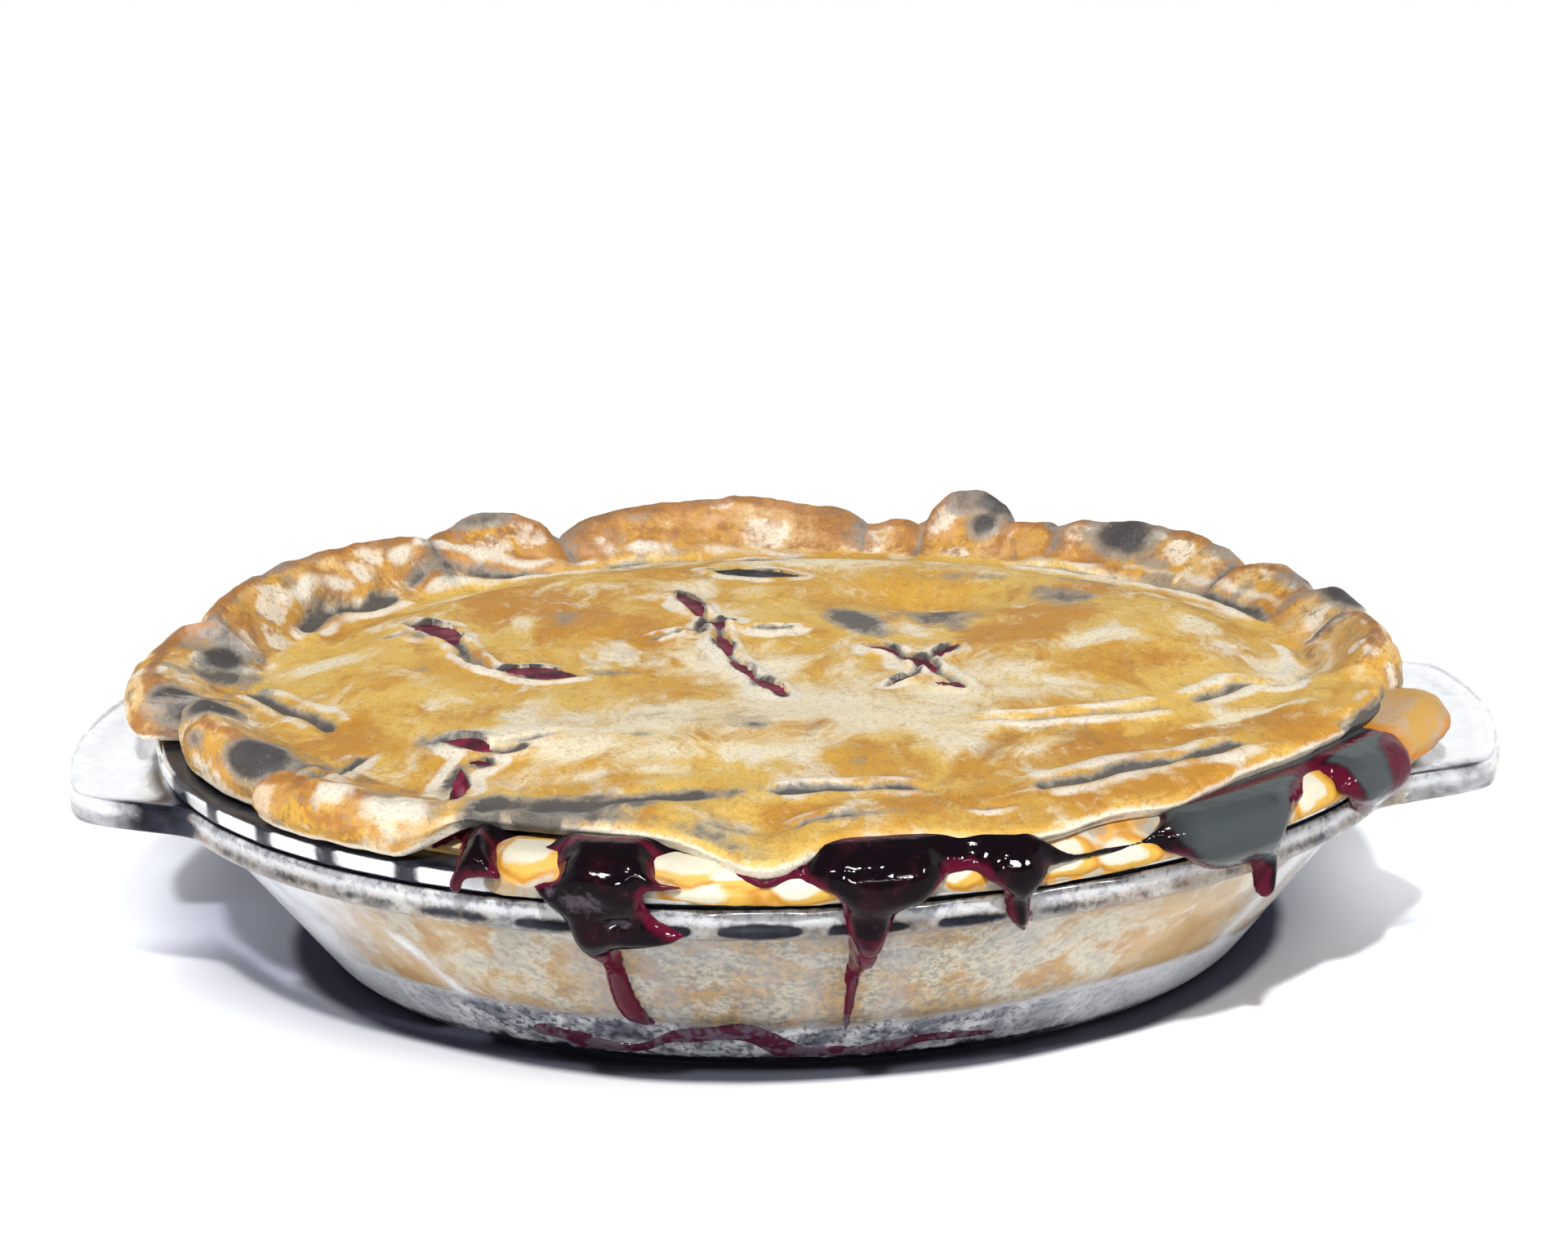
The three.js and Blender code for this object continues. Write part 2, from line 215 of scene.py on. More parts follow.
def sectionLine(corners, counts, rounding=2):
    # stations along a row of corners, each an array over the angles, with the corners rounded a little
    size = np.broadcast_shapes(*[np.shape(v) for corner in corners for v in corner])
    corners = [[np.broadcast_to(v, size) for v in corner] for corner in corners]
    radii, heights = [], []
    for (r0, z0), (r1, z1), count in zip(corners[:-1], corners[1:], counts):
        for t in np.arange(count) / count:
            radii.append(mix(r0, r1, t))
            heights.append(mix(z0, z1, t))
    radii.append(corners[-1][0])
    heights.append(corners[-1][1])
    r, z = np.stack(radii, 1), np.stack(heights, 1)
    for _ in range(rounding):
        r[:, 1:-1] = (r[:, :-2] + 2 * r[:, 1:-1] + r[:, 2:]) / 4
        z[:, 1:-1] = (z[:, :-2] + 2 * z[:, 1:-1] + z[:, 2:]) / 4
    return r, z


def pushOut(x, y, z, out):
    # moves the grids of a section drawn from the axis out, up and back along their outward normals
    def around(v):
        return np.roll(v, -1, 0) - np.roll(v, 1, 0)
    a = np.stack([around(x), around(y), around(z)], -1)
    b = np.stack([np.gradient(v, axis=1) for v in (x, y, z)], -1)
    n = np.cross(a, b)
    n = n / np.maximum(np.linalg.norm(n, axis=-1, keepdims=True), 1e-9)
    x, y, z = x + n[..., 0] * out, y + n[..., 1] * out, z + n[..., 2] * out
    x[:, 0] = y[:, 0] = x[:, -1] = y[:, -1] = 0
    return x, y, z


def finishShading(piece, angle=None):
    pickOnly(piece)
    if angle:
        bpy.ops.object.shade_smooth_by_angle(angle=math.radians(angle))
    else:
        bpy.ops.object.shade_smooth()


def applyModifier(piece, kind, **settings):
    pickOnly(piece)
    modifier = piece.modifiers.new(kind.lower(), kind)
    for name, value in settings.items():
        setattr(modifier, name, value)
    bpy.ops.object.modifier_apply(modifier=modifier.name)


def place(piece, node, material):
    piece.data.materials.clear()
    piece.data.materials.append(material)
    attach(piece, "root")
    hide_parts(node)


def paint(red, green, blue):
    # a colour as it shows on a screen, made linear for a shader
    def linear(c):
        c = c / 255
        return c / 12.92 if c <= 0.04045 else ((c + 0.055) / 1.055) ** 2.4
    return (linear(red), linear(green), linear(blue), 1.0)


class Wire:
    # a socket that plain sums work on
    def __init__(self, finish, socket):
        self.finish, self.socket = finish, socket

    def maths(self, operation, other, swapped=False):
        first, second = (other, self) if swapped else (self, other)
        return self.finish.add("Math", {"operation": operation}, {0: first, 1: second})

    def __add__(self, other):
        return self.maths("ADD", other)

    def __sub__(self, other):
        return self.maths("SUBTRACT", other)

    def __rsub__(self, other):
        return self.maths("SUBTRACT", other, swapped=True)

    def __mul__(self, other):
        return self.maths("MULTIPLY", other)

    __radd__ = __add__
    __rmul__ = __mul__


class Finish:
    # the nodes of a material, or of the world, under construction, with the names of its tints
    def __init__(self, name, tints=None, world=False):
        self.owner = (bpy.data.worlds if world else bpy.data.materials).new(name)
        self.owner.use_nodes = True
        self.tree = self.owner.node_tree
        self.tree.nodes.clear()
        self.tints = tints or {}

    def add(self, kind, settings=None, values=None, out=0):
        node = self.tree.nodes.new("ShaderNode" + kind)
        for name, value in (settings or {}).items():
            setattr(node, name, value)
        for name, value in (values or {}).items():
            if isinstance(value, Wire):
                self.tree.links.new(value.socket, node.inputs[name])
            else:
                node.inputs[name].default_value = value
        return Wire(self, node.outputs[out]) if len(node.outputs) else None

    def attribute(self, name):
        return self.add("Attribute", {"attribute_name": name}, out="Fac")

    def axis(self, vector, name):
        return self.add("SeparateXYZ", None, {"Vector": vector}, out=name)

    def grain(self, spot, size, detail=3.0, rough=0.55, warp=0.0):
        # noise from 0 to 1 with features of about that size in millimetres
        values = {"Vector": spot, "Scale": perMetre / size, "Detail": detail, "Roughness": rough}
        return self.add("TexNoise", None, {**values, "Distortion": warp})

    def ramp(self, value, low, high):
        # 0 below low and 1 above high, or the other way round where high is the smaller
        return self.add("MapRange", {"interpolation_type": "SMOOTHSTEP"}, {
            "Value": value, "From Min": low, "From Max": high})

    def level(self, share, first, second):
        return self.add("Mix", {"data_type": "FLOAT"}, {0: share, 2: first, 3: second})

    def blend(self, share, first, second):
        first, second = (self.tints[v] if isinstance(v, str) else v for v in (first, second))
        return self.add("Mix", {"data_type": "RGBA"}, {0: share, 6: first, 7: second}, out=2)

    def coats(self, colour, rows):
        # one coat of paint after another: what decides where, from, to, strength, tint
        for where, low, high, strength, tint in rows:
            colour = self.blend(self.ramp(where, low, high) * strength, colour, tint)
        return colour

    def layer(self, share, under, over):
        return self.add("MixShader", None, {0: share, 1: under, 2: over})

    def warped(self, spot, size, amount):
        # the place shifted about, by up to that many millimetres
        values = {"Vector": spot, "Scale": perMetre / size, "Detail": 3.0}
        drift = self.add("TexNoise", None, values, out="Color")
        reach = (amount * 2 * mm,) * 3
        return self.add("VectorMath", {"operation": "MULTIPLY_ADD"}, {0: drift, 1: reach, 2: spot})

    def cells(self, spot, size, out="Distance"):
        # rounded patches: how far from the middle of one, or a number of its own for each
        values = {"Vector": spot, "Scale": perMetre / size}
        return self.add("TexVoronoi", {"feature": "F1"}, values, out=out)

    def bump(self, height, depth, normal=None):
        values = {"Height": height, "Strength": 1.0, "Distance": depth * mm}
        if normal:
            values["Normal"] = normal
        return self.add("Bump", None, values)

    def close(self, shader):
        self.add("OutputMaterial", None, {"Surface": shader})
        return self.owner


# the camera, in millimetres and degrees
view = {
    "place": (0.0, -871.6, 273.9),
    "down": 13.766,  # degrees below level
    "aside": -0.049,
    "roll": -1.401,
    "lens": 102.86,
    "sensor": 36,
}

deselectAll()
bpy.ops.object.camera_add()
camera = bpy.context.object
camera.name = "camera"
camera.data.lens = view["lens"]
camera.data.sensor_width = view["sensor"]
camera.data.clip_end = 50
camera.matrix_world = (
    Matrix.Translation([v * mm for v in view["place"]])
    @ Matrix.Rotation(math.radians(view["aside"]), 4, "Z")
    @ Matrix.Rotation(math.radians(90 - view["down"]), 4, "X")
    @ Matrix.Rotation(math.radians(view["roll"]), 4, "Z")
)
bpy.context.scene.camera = camera
print("camera placed")

studio = {  # metres, degrees and watts
    "floorSize": 14.0,
    "floorDrop": 0.0004,
    "floorTone": (0.95, 0.95, 0.955, 1),
    "floorMottle": (0.9, 0.905, 0.912, 1),
    # a shadow painted into the floor's colour: blue-grey where the dish keeps the light off, near black
    # close round its foot
    "shadeTone": (0.1, 0.105, 0.16, 1),
    "shadeCentre": (-0.013, 0.028, 0.0),  # where the dish keeps the light off the floor
    "footShadowTone": (0.03, 0.03, 0.05, 1),  # close round the foot
    "sunStrength": 4.35,
    "sunSoftness": 3.2,
    "sunFrom": (-0.03, -0.86, 1.0),  # direction that the light comes from
    "skyLeft": 0.015,
    "skyRight": 0.1,
    "skyTint": (0.93, 0.96, 1.0, 1),
    "sparkles": [  # turned, raised, strength
        (-34, 38, 3.2), (24, 30, 3.2), (8, 66, 3.4), (52, 30, 1.6), (-8, 12, 2.2)],
    "sparkleSoftness": 7.0,
    "strip": {"place": (0.3, -1.4, 0.5), "tipped": 72, "turned": 12, "size": (0.34, 0.07), "power": 3.0},
    "fills": [(-1.28, -0.3, 0.05, 8.0), (1.28, -0.3, 0.05, 5.6), (0.0, -1.5, 0.05, 0.9)],  # place, power
    "fillSize": (1.1, 0.08),
}

deselectAll()
bpy.ops.mesh.primitive_plane_add(size=studio["floorSize"], location=(0, 0, -studio["floorDrop"]))
floor = bpy.context.object
floor.name = "floor"
matt = Finish("floorMatt", studio)
spot = matt.add("TexCoord", out="Object")
mottle = matt.grain(spot, 90, 4)
# the painted shadow round its centre, and a painted contact shadow close round the foot
reach = matt.add("VectorMath", {"operation": "DISTANCE"}, {0: spot, 1: studio["shadeCentre"]}, out="Value")
close = matt.add("VectorMath", {"operation": "LENGTH"}, {0: spot}, out="Value")
tone = matt.coats(matt.blend(mottle, "floorTone", "floorMottle"), [
    (reach, 0.146, 0.1, 0.76, "shadeTone"),
    (close + (mottle - 0.5) * 0.006, 0.102, 0.098, 0.94, "footShadowTone")])
floor.data.materials.append(matt.close(matt.add("BsdfDiffuse", None, {"Color": tone})))


def addLamp(name, kind, at, tipped, turned, power):
    # tipped up from looking straight down, then turned about the upright
    deselectAll()
    bpy.ops.object.light_add(type=kind, location=at, rotation=(tipped, 0, turned))
    lamp = bpy.context.object
    lamp.name = name
    lamp.data.energy = power
    return lamp


fromX, fromY, fromZ = studio["sunFrom"]
sunTip, sunTurn = math.atan2(math.hypot(fromX, fromY), fromZ), math.atan2(fromY, fromX) + math.pi / 2
sun = addLamp("key", "SUN", (0, 0, 0), sunTip, sunTurn, studio["sunStrength"])
sun.data.angle = math.radians(studio["sunSoftness"])

for number, (turned, raised, power) in enumerate(studio["sparkles"]):
    tip = math.radians(90 - raised)
    spark = addLamp(f"sparkle{number}", "SUN", (0, 0, 0), tip, math.radians(turned), power)
    spark.data.angle = math.radians(studio["sparkleSoftness"])
    spark.visible_diffuse = False

glint = studio["strip"]  # only for the long glint on the syrup
tip, turned = math.radians(glint["tipped"]), math.radians(glint["turned"])
strip = addLamp("strip", "AREA", glint["place"], tip, turned, glint["power"])
strip.data.shape = "RECTANGLE"
strip.data.size, strip.data.size_y = glint["size"]
strip.visible_diffuse = False

for number, (x, y, z, power) in enumerate(studio["fills"]):
    fill = addLamp(f"lowFill{number}", "AREA", (x, y, z), math.radians(90), math.atan2(x, -y), power)
    fill.data.shape = "RECTANGLE"
    fill.data.size, fill.data.size_y = studio["fillSize"]
    fill.visible_glossy = False
    fill.visible_transmission = False

sky = Finish("studio", world=True)
bpy.context.scene.world = sky.owner
facing = sky.add("TexCoord", out="Generated")
inFront = sky.ramp(sky.axis(facing, "Y") * -1.0, 0.25, 0.5)
above = sky.ramp(sky.axis(facing, "Z"), 0.45, 0.7)
shine = sky.level(above, sky.level(inFront, 1.0, 0.05), 0.14)  # what a glossy ray sees
soft = sky.level(sky.ramp(sky.axis(facing, "X"), -0.5, 0.7), studio["skyLeft"], studio["skyRight"])
strength = sky.level(sky.add("LightPath", out="Is Glossy Ray"), 1.0, shine)
strength = sky.level(sky.add("LightPath", out="Is Diffuse Ray"), strength, soft)
glow = sky.add("Background", None, {"Color": studio["skyTint"], "Strength": strength})
sky.add("OutputWorld", None, {"Surface": glow})
bpy.context.scene.view_settings.view_transform = "Standard"
print("floor and light set")


# everything from here on is in millimetres, and in degrees round from +X
dish = {
    "steps": 480,
    "rim": 125.0,  # outside radius
    "rimHeight": 44.3,
    "foot": 92.8,
    "wall": 5.0,  # how thick it is, and the floor
    "ledgeBottom": 34.2,  # the ribbed outer band, from which the ears stand out
    "ledgeTop": 40.0,
    "earReach": 18.0,
    "earHalfAngle": 20.0,
    # painted glare: the wall is painted milky below this
    "milkHeight": 12.2,  # the wall is milky below this
    # height of the ovals of painted shade
    "dotHeight": 35.9,  # of the dark ovals in the outer band
    "flutes": 41,
    "fluteDepth": 0.55,
    "separator": 0.14,  # share of a flute taken by the rib beside it
    # painted shade, a dark line where an ear meets the band
    "joints": [  # dark line where an ear meets the band: angle, half width, amount
        (-157.6, 2.7, 1.0), (-18, 2.4, 0.38)],
    # painted glare, pale streaks down the wall
    "glareStreaks": [  # angle, half width, lean, from height, to height
        (-125, 1.3, -0.3, 8, 26), (-148, 2.4, 0, 4, 30), (-154, 2, 0, 4, 30), (-36, 3, 0.1, 6, 30)],
    # painted glare, hazy bands on the wall, also greyed with painted shade
    "glareHazes": [  # angle, half width, from height, to height
        (-108.6, 2.6, 8, 34), (-102, 2.4, 8, 34), (-88, 1.8, 6, 34), (-80, 2.0, 6, 34),
        (-98, 5, 26, 34), (-84, 6, 30, 34), (-68, 4, 22, 34), (-92, 3, 20, 30)],
}


def earAt(angle):
    off = np.minimum(np.abs(turnBy(angle)), np.abs(turnBy(angle - 180)))
    return 1 - smooth((off - dish["earHalfAngle"] + 5.5) / 11)


def wallFace(z):
    return mix(dish["foot"] + 0.4, dish["rim"] - 5.4, (z - 1.6) / (dish["ledgeBottom"] - 1.6))


def innerWall(z):
    return np.minimum(wallFace(z) - 1.32 * dish["wall"], dish["rim"] - 11)


def fluteEdge(angle):
    # how far it is from the middle of the nearest rib of the outer band, as a share of a flute
    part = (angle * dish["flutes"] / 360) % 1
    return np.minimum(part, 1 - part)


def makeGlassDish():
    rim, top, low, high = dish["rim"], dish["rimHeight"], dish["ledgeBottom"], dish["ledgeTop"]
    foot, floorTop = dish["foot"], dish["wall"]
    angle = np.arange(dish["steps"]) * 360 / dish["steps"]
    ear = earAt(angle)
    out = dish["earReach"] * ear
    ledge = rim - 0.4
    scoop = smooth((fluteEdge(angle) - dish["separator"] / 2) / 0.16) * dish["fluteDepth"]
    corners = [
        (0, 0.9), (84, 0.9), (86.5, 0), (foot - 1.6, 0),
        (foot + 0.5, 1.6), (wallFace(33.2), 33.2),
        (rim - 4.6 + 0.4 * out, low + 0.6 * ear), (ledge - 0.6 + out, low + 0.1 * ear),
        (ledge + out - scoop * 0.5, low + 1.2), (ledge + out - scoop, low + 2.9),
        (ledge + out - scoop * 0.6, high - 0.7), (ledge - 0.8 + out, high),
        (rim - 1.8 + 0.5 * out, high - 0.8 * ear), (rim - 2.0, high + 0.35),
        (rim - 0.3 - 0.3 * scoop, high + 0.9), (rim - 0.5 * scoop, high + 2.3),
        (rim, top - 0.6), (rim - 0.6, top),
        (rim - 9.5, top), (innerWall(40), 40), (innerWall(34), 34),
        (innerWall(12), 12), (foot - 10, floorTop + 1.0),
        (foot - 16, floorTop), (0, floorTop),
    ]
    counts = [3, 2, 2, 3, 26, 5, 6, 4, 5, 5, 4, 4, 3, 4, 4, 4, 3, 8, 5, 4, 12, 6, 4, 8]
    r, z = sectionLine(corners, counts, 1)
    r[:, 0] = r[:, -1] = 0
    turn = np.radians(angle)[:, None]
    piece = spunShell("glassDish", r, r * np.cos(turn), r * np.sin(turn), z)
    markGlass(piece)
    finishShading(piece, 40)
    return piece


def markGlass(piece):
    # where the thick glass is painted with dark lines of shade, and painted milky where it is bright with
    # light from inside
    x, y, z, spin, radius = roundPlaces(piece)
    rim, top = dish["rim"], dish["rimHeight"]
    off = 1 - earAt(spin)
    edge = fluteEdge(spin)
    outside = smooth((radius - wallFace(z) + 2.0) / 0.8)
    onBand = outside * (radius > 119)
    ledge = band(z, 34.4, 39.9, 0.8) * onBand
    wall = outside * (z < 34.4) * (radius < 123)
    face = band(z, 40.9, 44.1) * (radius > rim - 1.6)
    block = smooth((edge - 0.1) / 0.05)
    barShade = face * (1 - block)

    # painted glare, milky white: the blocks of the rim's face, the outer band, the foot of the wall and its
    # two ends
    sides = smooth((np.abs(x) - mix(70, 86, x > 0)) / 20)
    low = smooth((dish["milkHeight"] - z + 1.2 * np.sin(np.radians(spin * 5))) / 3.0)
    glareStreak = 0
    for at, wide, lean, z0, z1 in dish["glareStreaks"]:
        glareStreak = np.maximum(glareStreak, bell(spin, at + lean * (z - z0), wide) * band(z, z0, z1, 5))
    glareHaze = 0
    for at, wide, z0, z1 in dish["glareHazes"]:
        glareHaze = np.maximum(glareHaze, hump(spin, at, wide) * band(z, z0, z1, 6))
    joint = sum(amount * hump(spin, at, wide) for at, wide, amount in dish["joints"])
    joint = joint * band(z, 33, 44.2, 1.5) * (radius > 121)
    paintedGlare = face * mix(0.5, 0.93, block)
    paintedGlare = paintedGlare + ledge * mix(0.5, 0.78, smooth((z - 36.5) / 1.5)) * (0.8 + 0.2 * off)
    paintedGlare = paintedGlare + wall * (0.08 + 0.9 * low + 0.65 * sides + 0.6 * glareStreak + 0.32 * glareHaze)
    mark(piece, "paintedGlare", np.clip(paintedGlare * (1 - 0.8 * np.clip(joint, 0, 1)), 0, 1))

    # painted shade, dark lines where the thick glass would show shade: the groove, the lip, an oval in each
    # flute, the top of the rim, the foot (a painted contact shadow), and the ears' joints
    groove = bell(z, dish["ledgeTop"] + 0.4, 0.6) * outside * (radius > 120)
    lip = bell(z, top, 0.4) * (radius > rim - 1.1)
    rimTopShade = band(z, 43.9, 45.0) * (radius > 113) * (radius < rim - 0.9) * (y < 20)
    swell = np.sqrt(np.clip((edge - 0.08) / 0.42, 0, 1))
    shown = 0.3 + 0.85 * np.maximum(hump(spin, -94, 30), 0.4 * hump(spin, 90, 40))
    shown = shown + 0.16 * np.sin(np.radians(spin * 7))
    shadeOvals = bell(z, dish["dotHeight"], 0.35 + 1.1 * swell) * smooth((edge - 0.08) / 0.1) * onBand * shown
    foot = smooth((2.8 + lumps(x, y, z, 5, 3.8) - z) / 0.9) * smooth((radius - 88) / 3)
    foot = foot * (0.25 + 0.75 * hump(spin, -95, 42))
    paintedShadeLine = 1.1 * groove * (0.35 + 0.65 * off) + 0.8 * lip * off + 0.95 * shadeOvals * off
    paintedShadeLine = paintedShadeLine + 0.8 * rimTopShade + 0.9 * foot + 0.9 * joint
    paintedShadeLine = paintedShadeLine + 0.5 * barShade * off * smooth((np.abs(turnBy(spin + 90)) - 15) / 15)
    mark(piece, "paintedShadeLine", np.clip(paintedShadeLine, 0, 1))

    # painted shade that greys the milk, and where the glass keeps most of the light off the floor
    paintedShade = low * wall * (0.14 + 1.8 * hump(spin, -97, 30)) + 0.5 * glareHaze * wall
    paintedShade = paintedShade + 0.9 * ledge * (0.4 * off + 0.6 * smooth((37.8 - z) / 2)) + 1.9 * barShade
    paintedShade = paintedShade + 0.45 * band(z, 38.6, 40.6, 1.0) * onBand * off
    mark(piece, "low", np.clip(paintedShade, 0, 1))
    mark(piece, "dense", np.clip(outside * off * (radius > 112) * smooth((z - 30) / 4), 0, 1))


glassTints = {
    "glareMilk": paint(238, 240, 243),
    "milkShade": paint(92, 93, 105),
    "darkMilkShade": paint(48, 49, 64),
    "paintedShadeLine": paint(13, 14, 23),
    "thinShadeLine": paint(40, 42, 54),
    "body": (0.985, 0.99, 0.99, 1),
    "shadow": (0.88, 0.89, 0.91, 1),
    "denseShadow": (0.16, 0.18, 0.24, 1),
}


def glassFinish():
    clear = Finish("clearGlass", glassTints)
    spot = clear.add("TexCoord", out="Object")
    cloud = clear.grain(spot, 8, 4, 0.62, 0.3)
    fine = clear.grain(spot, 1.6, 4, 0.7)
    glass = clear.add("BsdfPrincipled", None, {
        "Base Color": glassTints["body"], "Roughness": 0.015, "IOR": 1.47, "Transmission Weight": 1.0,
        "Normal": clear.bump(clear.grain(spot, 26, 2), 0.2)})
    # painted shade that greys the painted glare
    low = clear.attribute("low") * 0.85
    # the painted glare, milky white, greyed by painted shade where marked
    pale = clear.coats("glareMilk", [
        (cloud, 0.28, 0.6, low + 0.12, "milkShade"),
        (fine, 0.46, 0.62, low + 0.06, "darkMilkShade")])
    glareMilk = clear.add("BsdfPrincipled", None, {
        "Base Color": pale, "Roughness": 0.3, "Coat Weight": 0.6, "Coat Roughness": 0.05})
    # painted shade: the dark lines and ovals on the glass
    dark = clear.add("BsdfPrincipled", None, {
        "Base Color": clear.blend(clear.ramp(cloud, 0.4, 0.7), "paintedShadeLine", "thinShadeLine"),
        "Roughness": 0.2, "Specular IOR Level": 0.2})
    paintedGlare = clear.attribute("paintedGlare")
    uneven = (cloud - 0.5) * 0.9 + (fine - 0.5) * 0.35
    body = clear.layer(clear.ramp(paintedGlare + uneven * paintedGlare * 1.4, 0.04, 0.96), glass, glareMilk)
    body = clear.layer(clear.ramp(clear.attribute("paintedShadeLine") + uneven * 0.7, 0.16, 0.66), body, dark)
    through = clear.add("BsdfTransparent", None, {"Color": glassTints["shadow"]})
    dense = clear.add("BsdfTransparent", None, {"Color": glassTints["denseShadow"]})
    through = clear.layer(clear.attribute("dense"), through, dense)
    return clear.close(clear.layer(clear.add("LightPath", out="Is Shadow Ray"), body, through))


glassDish = makeGlassDish()
place(glassDish, "glass_dish", glassFinish())
print("glass dish:", len(glassDish.data.polygons), "faces")


